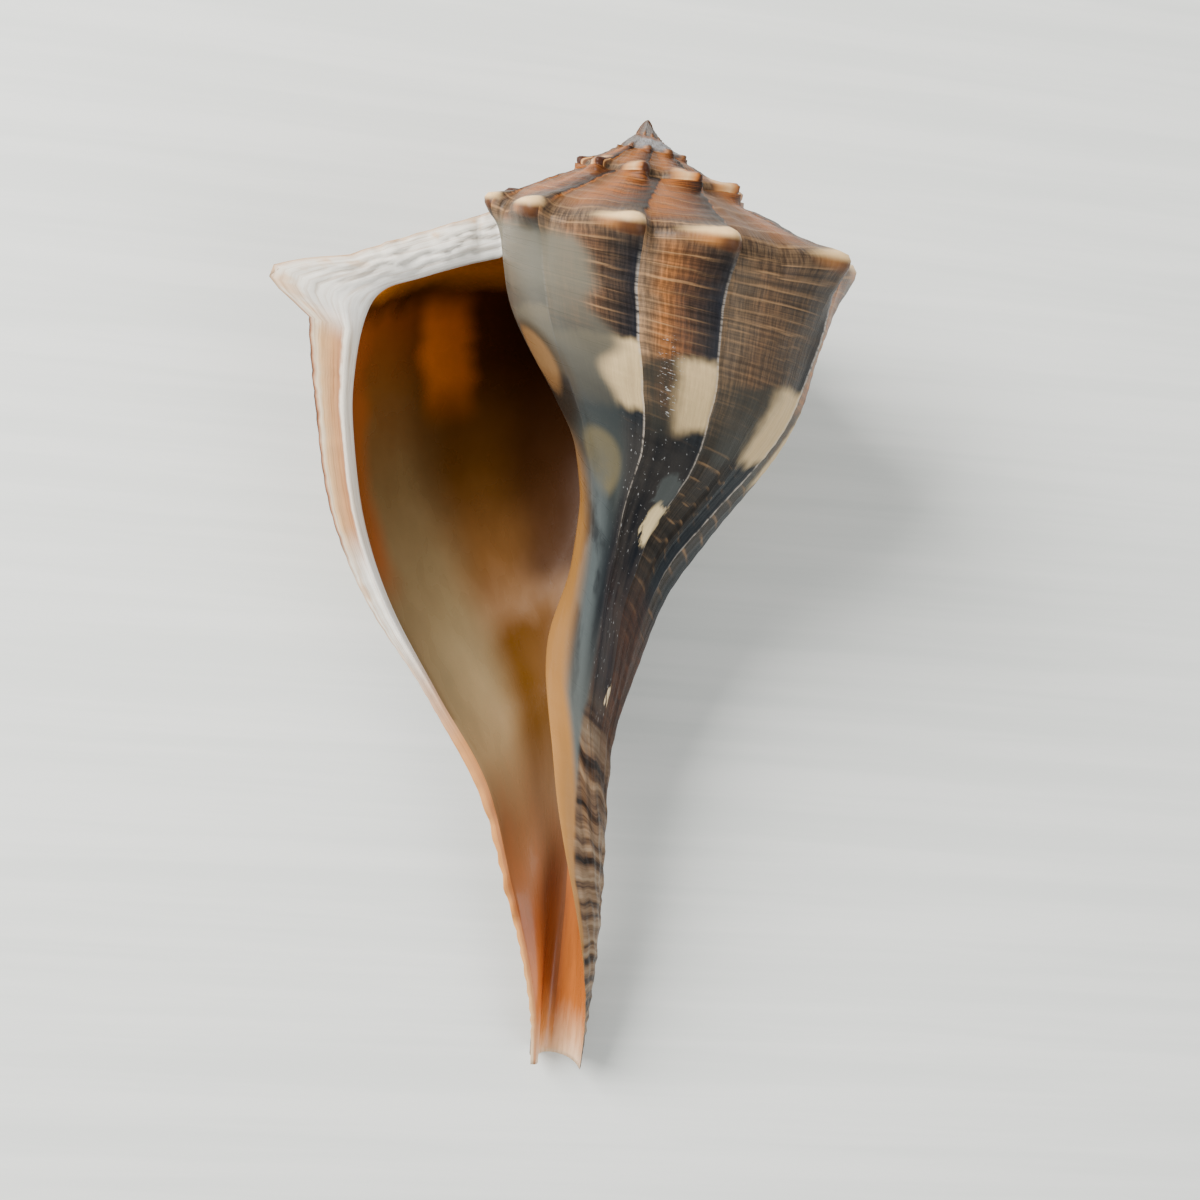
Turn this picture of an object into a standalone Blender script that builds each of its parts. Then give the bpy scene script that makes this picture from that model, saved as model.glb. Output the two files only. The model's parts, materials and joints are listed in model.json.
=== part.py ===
"""Lightning whelk shell: one closed solid, left-handed, lying on its back with the aperture up.

The shell is a spiral that grows by WHORL_RATIO each turn about one axis. It is modelled in shell axes
first. Azimuth 0 is the right side, 90 the front, where the aperture opens, 180 the left and 270 the
back. Depth is the distance below the tip of the spire along the axis. A turn angle runs backwards in
growth, from the outer lip at 180 degrees to the tip of the spire. The last step lays the shell down.
"""

import math

import bmesh
import bpy
import numpy as np
from mathutils import Matrix

MM = 0.001

# Growth
WHORL_RATIO = 2.4
LIP_TURN = 180.0
FULL_TURN = 360.0
INNER_TURN = LIP_TURN + FULL_TURN
SPIRE_TURNS = 3.5
GROWTH = math.log(WHORL_RATIO) / FULL_TURN

# Outer outline at the lip, from the suture to the end of the canal, as (radius, depth).
# The suture lies on the whorl before, at the foot of its shoulder.
SHOULDER_FOOT = (48.2 * MM, 30.4 * MM)
SHOULDER_KNOT = 4.0
OUTLINE = (
    (SHOULDER_FOOT[0] / WHORL_RATIO, SHOULDER_FOOT[1] / WHORL_RATIO),
    (27.0 * MM, 15.6 * MM),
    (36.0 * MM, 19.9 * MM),
    (44.0 * MM, 24.4 * MM),
    SHOULDER_FOOT,
    (47.7 * MM, 40.0 * MM),
    (46.1 * MM, 50.5 * MM),
    (42.7 * MM, 65.5 * MM),
    (35.4 * MM, 79.0 * MM),
    (25.2 * MM, 93.3 * MM),
    (16.2 * MM, 107.0 * MM),
    (10.2 * MM, 124.5 * MM),
    (6.3 * MM, 136.5 * MM),
    (4.0 * MM, 146.5 * MM),
    (3.2 * MM, 155.0 * MM),
)
CANAL_END = OUTLINE[-1][1]
SPIRAL_DEPTH = 65.0 * MM
FLATTEN_POWER = 1.2
CANAL_FADE = 80.0 * MM

# The spire stands taller than the spiral alone: every whorl but the last sits this much deeper
SINK = 2.1 * MM
SINK_TURNS = (300.0, 460.0)
SINK_SCALE = 0.05
SINK_FADE_DEPTH = 80.0 * MM

# Inner edge of the lip, where its broad band turns into the cavity
INNER_EDGE = (
    (19.6 * MM, 19.8 * MM),
    (26.0 * MM, 22.2 * MM),
    (33.0 * MM, 25.6 * MM),
    (38.5 * MM, 28.7 * MM),
    (41.0 * MM, 33.4 * MM),
    (42.1 * MM, 41.5 * MM),
    (41.8 * MM, 50.5 * MM),
    (38.9 * MM, 65.5 * MM),
    (33.4 * MM, 79.0 * MM),
    (24.3 * MM, 93.3 * MM),
    (15.2 * MM, 107.0 * MM),
    (9.3 * MM, 124.5 * MM),
    (5.5 * MM, 136.5 * MM),
    (3.2 * MM, 146.5 * MM),
    (2.4 * MM, 155.0 * MM),
)
INNER_EDGE_TURN = 3.0
INNER_TOP_KNOT = 5.75

# Spines on the shoulder, by the turn angle of each, on the body whorl and the whorl before it
SPINE_TURNS = (
    180.0, 225.0, 262.5, 300.0, 345.0, 382.5, 427.5, 450.0, 487.5, 525.0,
    562.5, 600.0, 637.5, 675.0, 705.0, 735.0, 772.5, 810.0, 847.5, 900.0,
)
SPINE_PITCH = 37.5
SPINE_HEIGHT = 8.4 * MM
SPINE_SHARE = 0.8
SPIRE_SPINE_SHARE = 1.3
SPINE_DEPTH = 28.6 * MM
SPINE_OLD_WIDTH = 13.0 * MM
SPINE_YOUNG_WIDTH = 6.3 * MM
SPINE_HALF_DEPTH = 5.0 * MM
SPINE_RISE = (8.0, 20.0)
SPINE_RISE_TURNS = (310.0, 335.0)
SPINE_FIRST_SCALE = 0.06

# The pillar about the axis, as (radius, depth)
PILLAR = (
    (0.2 * MM, 0.0 * MM),
    (1.2 * MM, 9.0 * MM),
    (3.4 * MM, 24.0 * MM),
    (4.4 * MM, 61.0 * MM),
    (5.6 * MM, 82.0 * MM),
    (4.2 * MM, 98.0 * MM),
    (5.2 * MM, 116.0 * MM),
    (5.8 * MM, 134.0 * MM),
    (5.2 * MM, 155.0 * MM),
)
PILLAR_BLEND = 4.0
PILLAR_START = 65.0
CANAL_BACK_SWELL = 0.32

# The free edge of the pillar beside the canal
EDGE_TOP = 85.0 * MM
EDGE_CURVE = 1.1
EDGE_FLARE = 1.8 * MM
EDGE_FLARE_TURN = 22.0
EDGE_FLARE_START = 68.0 * MM
EDGE_FLARE_RISE = 14.0 * MM
EDGE_FLARE_END = 135.0 * MM
EDGE_FLARE_FALL = 40.0 * MM
EDGE_END_TURN = 360.0

# The cavity
WALL = 2.6 * MM
WALL_TURN = 40.0
CANAL_WALL = 1.7 * MM
CANAL_WALL_DEPTH = 100.0 * MM
ROOF_SHARE = 0.45
POCKET_TURN = 300.0
POCKET_ROUND = 60.0
FLOOR_TURN = 90.0
FLOOR_KNOT = 10.5
FLOOR_SHRINK = 0.0037
GUTTER_TOP = (-5.0 * MM, -5.6 * MM)
GUTTER_LOW = (4.4 * MM, -4.8 * MM)
GUTTER_LOW_DEPTH = 121.0 * MM
LEAST_GAP = 0.4 * MM

# The protoconch, a small knob on top
NUB_TOP = -0.3 * MM

# How the shell lies: the spire end raised, and a roll about its own axis
APEX_RISE = 15.8
ROLL = -7.6

# Finish
SHELL_COLOUR = (0.42, 0.26, 0.15, 1.0)
SHELL_ROUGHNESS = 0.35

# Mesh counts
COLUMNS_PER_TURN = 48
POCKET_STEPS_TO_FLOOR = 7
POCKET_STEPS_BEHIND = 14
LIP_STEPS = 2
RAMP_ROWS = (0.0, 1.0, 2.0, 2.7, 3.1, 3.47, 3.75, SHOULDER_KNOT)
SIDE_ROWS = (
    4.9, INNER_TOP_KNOT, 6.4, 7.0, 7.5, 8.0, 8.5, 9.0, 9.5, 10.0, FLOOR_KNOT,
    10.8, 11.1, 11.4, 11.7, 12.0, 12.4, 12.8, 13.2, 13.6, 14.0,
)
WELD = 1e-6


def read_curve(points, at):
    """A smooth curve through the points, read at knots along it."""
    points = np.asarray(points, float)
    at = np.clip(np.asarray(at, float), 0.0, len(points) - 1.0)
    ring = np.vstack([2 * points[0] - points[1], points, 2 * points[-1] - points[-2]])
    index = np.minimum(at.astype(int), len(points) - 2)
    t = (at - index)[..., None]
    a, b, c, d = (ring[index + k] for k in range(4))
    return 0.5 * (2 * b + (c - a) * t + (2 * a - 5 * b + 4 * c - d) * t**2 + (3 * (b - c) + d - a) * t**3)


DENSE_OUTLINE = read_curve(OUTLINE, np.linspace(0, len(OUTLINE) - 1, 400))
DENSE_PILLAR = read_curve(PILLAR, np.linspace(0, len(PILLAR) - 1, 200))


def smooth_step(x):
    x = np.clip(x, 0.0, 1.0)
    return x * x * (3 - 2 * x)


def growth_scale(turn):
    return np.exp(-GROWTH * (turn - LIP_TURN))


def pillar_radius(depth):
    return np.interp(depth, DENSE_PILLAR[:, 1], DENSE_PILLAR[:, 0])


def whorl_radius(turn, depth):
    """Radius of the spiral alone."""
    scale = growth_scale(turn)
    own = depth / scale
    radius = np.interp(own, DENSE_OUTLINE[:, 1], DENSE_OUTLINE[:, 0])
    return scale * radius * np.exp(-np.clip(own - CANAL_END, 0, None) / CANAL_FADE)


def outer_radius(turn, depth):
    """Radius of the outside: the spiral, or the pillar and the back of the canal where they are wider."""
    back = CANAL_BACK_SWELL * np.clip(-np.sin(np.radians(turn)), 0, 1) * (turn <= EDGE_END_TURN)
    rod = pillar_radius(depth) * smooth_step((turn - LIP_TURN) / PILLAR_START) * (1 + back)
    spiral = whorl_radius(turn, depth)
    return (spiral**PILLAR_BLEND + rod**PILLAR_BLEND) ** (1 / PILLAR_BLEND)


def sink(turn):
    """How much deeper the shoulder sits than the spiral alone would put it."""
    start, end = SINK_TURNS
    return SINK * smooth_step((turn - start) / (end - start)) * (1 - np.exp(-growth_scale(turn) / SINK_SCALE))


def row_sink(turn, knot, own):
    """The same for every row: the suture follows the whorl before it, and the base doesn't move."""
    share = smooth_step(np.clip(knot / SHOULDER_KNOT, 0, 1))
    ramp = sink(turn + FULL_TURN) * (1 - share) + sink(turn) * share
    return ramp * (1 - smooth_step((own - SHOULDER_FOOT[1]) / (SINK_FADE_DEPTH - SHOULDER_FOOT[1])))


def spine_turns():
    """Every spine's turn angle, to the tip of the spire."""
    turns = list(SPINE_TURNS)
    while turns[-1] < LIP_TURN + FULL_TURN * (SPIRE_TURNS + 2):
        turns.append(turns[-1] + SPINE_PITCH)
    return turns


def spine_push(turn, own):
    """How far the spines push the surface out, at lip size, at a depth on the lip's outline."""
    out = np.zeros(np.broadcast(turn, own).shape)
    for spine in spine_turns():
        behind = np.radians(turn - spine) * SHOULDER_FOOT[0]
        across = np.where(behind > 0, behind / SPINE_OLD_WIDTH, behind / SPINE_YOUNG_WIDTH)
        down = (own - SPINE_DEPTH) / SPINE_HALF_DEPTH
        reach = np.clip(1 - np.sqrt(across**2 + down**2), 0, 1)
        strength = SPIRE_SPINE_SHARE if spine > INNER_TURN else SPINE_SHARE if spine > LIP_TURN else 1.0
        out = np.maximum(out, SPINE_HEIGHT * strength * reach)
    return out


def spiral_share(own):
    """1 where a row follows the spiral, falling to 0 where it runs level at the end of the canal."""
    part = np.clip((own - SPIRAL_DEPTH) / (CANAL_END - SPIRAL_DEPTH), 0, 1)
    return (0.5 + 0.5 * np.cos(np.pi * part)) ** FLATTEN_POWER


def row_depth(own, turn_back):
    """Depth of a row that starts at the lip at depth own, followed turn_back degrees round."""
    return own * np.exp(-GROWTH * turn_back * spiral_share(own))


def edge_turn(depth):
    """Turn angle at which the outside ends, along the inner side of the aperture."""
    part = np.clip((CANAL_END - depth) / (CANAL_END - EDGE_TOP), 0, 1)
    return EDGE_END_TURN + (INNER_TURN - EDGE_END_TURN) * part**EDGE_CURVE


def to_space(turn, radius, depth):
    angle = np.radians(turn)
    return np.stack(np.broadcast_arrays(radius * np.cos(angle), -depth, radius * np.sin(angle)), -1)


def outside(along, knot):
    """Points of the outside. along is 0 at the lip and 1 a whole turn back, and more on the spire."""
    own = read_curve(OUTLINE, knot)[..., 1]
    depth = row_depth(own, FULL_TURN * along)
    end_depth = row_depth(own, FULL_TURN)
    width = np.where(along <= 1, edge_turn(end_depth) - LIP_TURN, FULL_TURN)
    turn = LIP_TURN + along * width
    flare = np.exp(-(((1 - along) * width / EDGE_FLARE_TURN) ** 2)) * (along <= 1)
    flare = flare * smooth_step((end_depth - EDGE_FLARE_START) / EDGE_FLARE_RISE)
    flare = flare * smooth_step((EDGE_FLARE_END - end_depth) / EDGE_FLARE_FALL)
    radius = outer_radius(turn, depth) + EDGE_FLARE * flare
    before = spine_push(turn + FULL_TURN, SHOULDER_FOOT[1]) / WHORL_RATIO * smooth_step(1 - knot / 1.5)
    scale = growth_scale(turn)
    push = scale * smooth_step(scale / SPINE_FIRST_SCALE - 1) * np.maximum(spine_push(turn, own), before)
    rise = np.radians(np.interp(turn, SPINE_RISE_TURNS, SPINE_RISE))
    depth = depth + row_sink(turn, knot, own) - push * np.sin(rise)
    return to_space(turn, radius + push * np.cos(rise), depth)


def shell_outside():
    """Grids of points for the spire and for the body whorl, the first index along the turn."""
    rows = np.array(RAMP_ROWS + SIDE_ROWS)
    ramp = len(RAMP_ROWS) - 1
    spire_columns = int(COLUMNS_PER_TURN * SPIRE_TURNS)
    along = 1 + np.arange(spire_columns + 1) / COLUMNS_PER_TURN
    spire = outside(along[:, None], rows[None, : ramp + 1])
    tip = np.array([0.0, -NUB_TOP, 0.0])
    first = spire_columns - COLUMNS_PER_TURN
    part = np.linspace(0, 1, ramp + 1)[None, :, None]
    capped = tip + (spire[first:, -1:, :] - tip) * np.concatenate([part**0.7, part**1.2, part**0.7], -1)
    share = smooth_step(np.arange(COLUMNS_PER_TURN + 1) / (0.3 * COLUMNS_PER_TURN))[:, None, None]
    spire[first:] = spire[first:] * (1 - share) + capped * share
    spire[: first + 1, 0] = spire[COLUMNS_PER_TURN :, -1]
    spire[first + 1 :, 0] = tip
    spire[-1, :-1] = tip
    body = outside(np.arange(COLUMNS_PER_TURN + 1)[:, None] / COLUMNS_PER_TURN, rows[None, :])
    body[:, 0] = spire[: COLUMNS_PER_TURN + 1, -1]
    body[-1, : ramp + 1] = spire[0]
    return spire, body


def band_point(back, knot, floor=None):
    """Radius and depth of the cavity's outer wall, back degrees behind the lip."""
    outer = read_curve(OUTLINE, knot)
    offset = read_curve(INNER_EDGE, knot) - outer
    own = outer[..., 1]
    wall = np.where(own > CANAL_WALL_DEPTH, CANAL_WALL, WALL)
    thick = wall / np.linalg.norm(offset, axis=-1)
    factor = 1 + (thick - 1) * smooth_step((back - INNER_EDGE_TURN) / WALL_TURN)
    turn = LIP_TURN + back
    depth = row_depth(own, back)
    if floor is not None:
        depth = depth[0] + (depth - depth[0]) * (floor - depth[0]) / (depth[-1] - depth[0])
    push = growth_scale(turn) * factor
    radius = outer_radius(turn, depth) + push * offset[..., 0]
    return radius, depth + row_sink(turn, knot, own) + push * offset[..., 1]


def inner_radius(back, depth):
    """Radius of the whorl before and of the pillar, on the inner side of the cavity."""
    turn = INNER_TURN + back
    return (whorl_radius(turn, depth) ** PILLAR_BLEND + pillar_radius(depth) ** PILLAR_BLEND) ** (1 / PILLAR_BLEND)


def inner_wall(back, depth):
    """Points on the inner side of the cavity, back degrees behind the lip."""
    turn = INNER_TURN + back
    sunk = depth + row_sink(turn, SHOULDER_KNOT, depth / growth_scale(turn))
    return to_space(turn, inner_radius(back, depth), sunk)


def roof_depth(back, first):
    """Depth at which the cavity's roof meets its inner side, where first is that depth at the lip."""
    suture = SHOULDER_FOOT[1] / WHORL_RATIO
    share = 1 + (ROOF_SHARE - 1) * smooth_step(back / WALL_TURN)
    return growth_scale(LIP_TURN + back) * (suture + share * (first - suture))


def bend(start, corner, end, part):
    return (1 - part) ** 2 * start + 2 * part * (1 - part) * corner + part**2 * end


def shell_pocket(body):
    """Grids of points for the cavity: outer side and inner side, each in front of and behind its floor."""
    rows = np.array(RAMP_ROWS + SIDE_ROWS)
    top = len(RAMP_ROWS) - 1 + LIP_STEPS
    floor = int(np.argmin(abs(rows - FLOOR_KNOT)))
    front = np.linspace(0, 1, POCKET_STEPS_TO_FLOOR + 1)
    behind = np.linspace(FLOOR_TURN, POCKET_TURN, POCKET_STEPS_BEHIND + 1)
    edge = body[-1, top:]

    # the outer wall, and the floor where it ends
    backs = INNER_EDGE_TURN + (FLOOR_TURN - INNER_EDGE_TURN) * front
    outer_front = np.stack([to_space(LIP_TURN + b, *band_point(b, rows)) for b in backs])
    keel = outer_front[-1, floor:]

    # the inner wall in front: the pillar above the floor, the side of the gutter below it
    inner_front = np.empty((len(front), len(rows) - top, 3))
    edge_depth = row_depth(read_curve(OUTLINE, rows[top:])[:, 1], FULL_TURN)
    low = smooth_step((edge_depth - EDGE_TOP) / (GUTTER_LOW_DEPTH - EDGE_TOP))
    corner = np.stack(
        [
            GUTTER_TOP[0] + (GUTTER_LOW[0] - GUTTER_TOP[0]) * low,
            0 * low,
            GUTTER_TOP[1] + (GUTTER_LOW[1] - GUTTER_TOP[1]) * low,
        ],
        -1,
    )
    ends = outer_front[-1, top:]
    corner[:, 1] = (edge[:, 1] + ends[:, 1]) / 2
    split = floor - top
    spread = (edge_depth[: split + 1] - edge_depth[0]) / (edge_depth[split] - edge_depth[0])
    for i, part in enumerate(front):
        gutter = bend(edge, corner, ends, part)
        back = FLOOR_TURN * part
        roof = roof_depth(back, edge_depth[0])
        wall = inner_wall(back, roof + spread * (-gutter[split, 1] - roof))
        share = smooth_step((spread - 0.7) / 0.3)[:, None] ** 2
        inner_front[i, : split + 1] = wall * (1 - share) + gutter[: split + 1] * share
        inner_front[i, split:] = gutter[split:]
    inner_front[0] = edge
    outer_front[:, 0] = inner_front[:, 0]
    inner_front[-1, split:] = outer_front[-1, floor:]

    # both walls behind the floor, closing to a point
    outer_behind = np.empty((len(behind), floor + 1, 3))
    inner_behind = np.empty((len(behind), split + 1, 3))
    floor_start = -outer_front[-1, floor, 1]
    for i, back in enumerate(behind):
        floor_depth = floor_start * math.exp(-FLOOR_SHRINK * (back - FLOOR_TURN))
        radius, depth = band_point(back, rows[: floor + 1], floor_depth)
        roof = roof_depth(back, edge_depth[0])
        radius = np.maximum(radius, inner_radius(back, depth) + LEAST_GAP)
        outer_behind[i] = to_space(LIP_TURN + back, radius, depth)
        inner_behind[i] = inner_wall(back, roof + spread * (floor_depth - roof))
        outer_behind[i, 0] = inner_behind[i, 0]
        inner_behind[i, -1] = outer_behind[i, -1]
        middle = (outer_behind[i].mean(0) + inner_behind[i].mean(0)) / 2
        closing = math.sqrt(max(0.0, 1 - max(0.0, (back - POCKET_TURN) / POCKET_ROUND + 1) ** 2))
        outer_behind[i] = middle + (outer_behind[i] - middle) * closing
        inner_behind[i] = middle + (inner_behind[i] - middle) * closing
    outer_behind[0] = outer_front[-1, : floor + 1]
    inner_behind[0] = inner_front[-1, : split + 1]
    return outer_front, inner_front, outer_behind, inner_behind


def lip_band(body, inner_edge):
    """Grid of points for the lip, from the growing edge to the inner edge."""
    part = np.linspace(0, 1, LIP_STEPS + 1)[:, None, None]
    band = body[0] * (1 - part) + inner_edge * part
    ramp = len(RAMP_ROWS) - 1
    band[:, 0] = body[-1, ramp : ramp + LIP_STEPS + 1]
    return band


def add_grid(shell, points):
    """Lays a flat grid of faces over the points."""
    columns, rows = points.shape[0] - 1, points.shape[1] - 1
    made = bmesh.ops.create_grid(shell, x_segments=columns, y_segments=rows, size=0.5)
    for vertex in made["verts"]:
        i = round((vertex.co.x + 0.5) * columns)
        j = round((vertex.co.y + 0.5) * rows)
        vertex.co = points[i, j]


def build_shell():
    spire, body = shell_outside()
    outer_front, inner_front, outer_behind, inner_behind = shell_pocket(body)
    shell = bmesh.new()
    for grid in (spire, body, lip_band(body, outer_front[0]), outer_front, inner_front, outer_behind, inner_behind):
        add_grid(shell, grid)
    bmesh.ops.remove_doubles(shell, verts=shell.verts[:], dist=WELD)
    rim = [edge for edge in shell.edges if edge.is_boundary]
    filled = bmesh.ops.holes_fill(shell, edges=rim, sides=0)
    bmesh.ops.triangulate(shell, faces=filled["faces"])
    bmesh.ops.recalc_face_normals(shell, faces=shell.faces[:])
    return shell


def lay_down(shell):
    """Turns the shell onto its back and moves the middle of its underside to the origin."""
    turn = Matrix.Rotation(math.radians(APEX_RISE), 4, "X") @ Matrix.Rotation(math.radians(ROLL), 4, "Y")
    bmesh.ops.transform(shell, matrix=turn, verts=shell.verts[:])
    points = np.array([vertex.co for vertex in shell.verts])
    low, high = points.min(0), points.max(0)
    shift = -np.array([(low[0] + high[0]) / 2, (low[1] + high[1]) / 2, low[2]])
    bmesh.ops.translate(shell, vec=shift, verts=shell.verts[:])


def shell_material():
    material = bpy.data.materials.new("shell")
    material.use_nodes = True
    surface = material.node_tree.nodes["Principled BSDF"]
    surface.inputs["Base Color"].default_value = SHELL_COLOUR
    surface.inputs["Roughness"].default_value = SHELL_ROUGHNESS
    surface.inputs["Metallic"].default_value = 0.0
    return material


def main():
    for old in list(bpy.data.objects):
        bpy.data.objects.remove(old, do_unlink=True)
    shell = build_shell()
    lay_down(shell)
    mesh = bpy.data.meshes.new("whelk_shell")
    shell.to_mesh(mesh)
    shell.free()
    mesh.shade_smooth()
    mesh.materials.append(shell_material())
    whelk = bpy.data.objects.new("whelk_shell", mesh)
    bpy.context.scene.collection.objects.link(whelk)


main()
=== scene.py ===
"""Looks for the lightning whelk shell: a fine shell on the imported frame, its finishes and a plain studio.

The fine shell grows by the same rules as the solid. Shell axes have azimuth 0 at the right, 90 at the
front, 180 at the left and 270 at the back. Depth runs down the axis from the tip of the spire, and a
turn angle runs backwards in growth, from the outer lip at 180 degrees to the tip. A knot is a place
along the profile: 0 at the suture, 4 at the foot of the shoulder and 14 at the end of the canal.
"""

import json
import logging
import math
from dataclasses import dataclass, field
from enum import Enum
from typing import Any

import bmesh
import bpy
import numpy as np
from mathutils import Matrix, Vector

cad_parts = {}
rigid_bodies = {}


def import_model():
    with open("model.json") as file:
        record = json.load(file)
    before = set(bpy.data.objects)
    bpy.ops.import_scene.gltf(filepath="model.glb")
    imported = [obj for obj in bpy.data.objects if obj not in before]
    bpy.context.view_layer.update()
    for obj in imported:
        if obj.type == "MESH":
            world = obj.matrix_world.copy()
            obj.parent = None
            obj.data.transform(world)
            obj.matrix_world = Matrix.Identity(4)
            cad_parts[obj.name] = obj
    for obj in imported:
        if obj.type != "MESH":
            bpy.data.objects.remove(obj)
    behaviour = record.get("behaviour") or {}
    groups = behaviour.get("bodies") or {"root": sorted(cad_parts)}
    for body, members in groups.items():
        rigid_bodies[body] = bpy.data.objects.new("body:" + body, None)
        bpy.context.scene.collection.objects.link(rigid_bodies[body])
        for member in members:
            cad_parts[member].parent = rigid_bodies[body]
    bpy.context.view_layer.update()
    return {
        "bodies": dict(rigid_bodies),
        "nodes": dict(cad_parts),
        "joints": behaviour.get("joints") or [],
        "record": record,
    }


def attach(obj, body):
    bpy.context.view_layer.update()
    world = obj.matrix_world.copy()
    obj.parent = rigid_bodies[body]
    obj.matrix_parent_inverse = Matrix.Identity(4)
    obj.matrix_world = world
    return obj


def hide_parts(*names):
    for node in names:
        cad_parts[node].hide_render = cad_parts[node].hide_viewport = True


LOG = logging.getLogger("whelk")
MM = 0.001
FULL_TURN = 360.0
FOOT_KNOT = 4.0
LAST_KNOT = 14.0
MASKS = 5
Span = tuple[float, float]
Colour = tuple[float, float, float]
Stops = tuple[tuple[float, Colour | float], ...]
Table = tuple[Span, ...]
Points = np.ndarray


class Region(Enum):
    """Parts of the shell's surface, numbered as the mesh's material slots."""

    OUTSIDE = 0
    LIP = 1
    CAVITY = 2


def smooth_step(x: Points) -> Points:
    """Eases from 0 to 1 as x goes from 0 to 1."""
    x = np.clip(x, 0.0, 1.0)
    return x * x * (3 - 2 * x)


def bell(x: Points) -> Points:
    """Falls from 1 at 0 towards 0 on both sides."""
    return np.exp(-(x**2))


def read_curve(points: Any, at: Any) -> Points:
    """Reads a smooth curve through some points.

    Args:
        points: The points that the curve passes, one at each whole knot.
        at: The knots to read it at.

    Returns:
        One point of the curve for each knot asked for.
    """
    points = np.asarray(points, float)
    at = np.clip(np.asarray(at, float), 0.0, len(points) - 1.0)
    ring = np.vstack([2 * points[0] - points[1], points, 2 * points[-1] - points[-2]])
    index = np.minimum(at.astype(int), len(points) - 2)
    t = (at - index)[..., None]
    a, b, c, d = (ring[index + k] for k in range(4))
    return 0.5 * (2 * b + (c - a) * t + (2 * a - 5 * b + 4 * c - d) * t**2 + (3 * (b - c) + d - a) * t**3)


def read_table(table: Table, at: Points) -> Points:
    """Reads a table of (place, value) pairs with straight lines between them."""
    places, values = zip(*table)
    return np.interp(at, places, values)


def ripple(x: Points, y: Points, seed: float) -> Points:
    """A smooth uneven surface between about -1 and 1, the same on each run.

    Args:
        x: First coordinate, in waves.
        y: Second coordinate, in waves.
        seed: Any number; another one gives another surface.

    Returns:
        The height at each place.
    """
    total = np.zeros(np.broadcast(x, y).shape)
    for k in range(5):
        turn = seed * 1.7 + 2.399 * k
        along = x * math.cos(turn) + y * math.sin(turn)
        total = total + np.sin(2 * math.pi * along * (0.7 + 0.23 * k) + 5.1 * seed * (k + 1))
    return total / 3.2


def bend(start: Points, corner: Points, end: Points, part: float) -> Points:
    """A point part of the way along a curve from start to end, drawn towards corner."""
    return (1 - part) ** 2 * start + 2 * part * (1 - part) * corner + part**2 * end


def to_space(turn: Any, radius: Any, depth: Any) -> Points:
    """Points in shell axes from turn angle, radius and depth."""
    angle = np.radians(turn)
    return np.stack(np.broadcast_arrays(radius * np.cos(angle), -depth, radius * np.sin(angle)), -1)


def outward_normals(points: Points) -> Points:
    """Finds the unit normals of a grid of points.

    Args:
        points: The grid.

    Returns:
        One normal for each point, pointing away from the shell's axis.
    """
    normals = np.cross(np.gradient(points, axis=0), np.gradient(points, axis=1))
    normals /= np.linalg.norm(normals, axis=-1, keepdims=True) + 1e-12
    facing = (normals[..., 0] * points[..., 0] + normals[..., 2] * points[..., 2]).sum()
    return normals * (1.0 if facing > 0 else -1.0)


@dataclass
class Patch:
    """A grid of surface points, the first index along the turn, with what the finishes read there."""

    region: Region
    points: Points
    turn: Points
    knot: Points
    masks: Points


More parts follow.
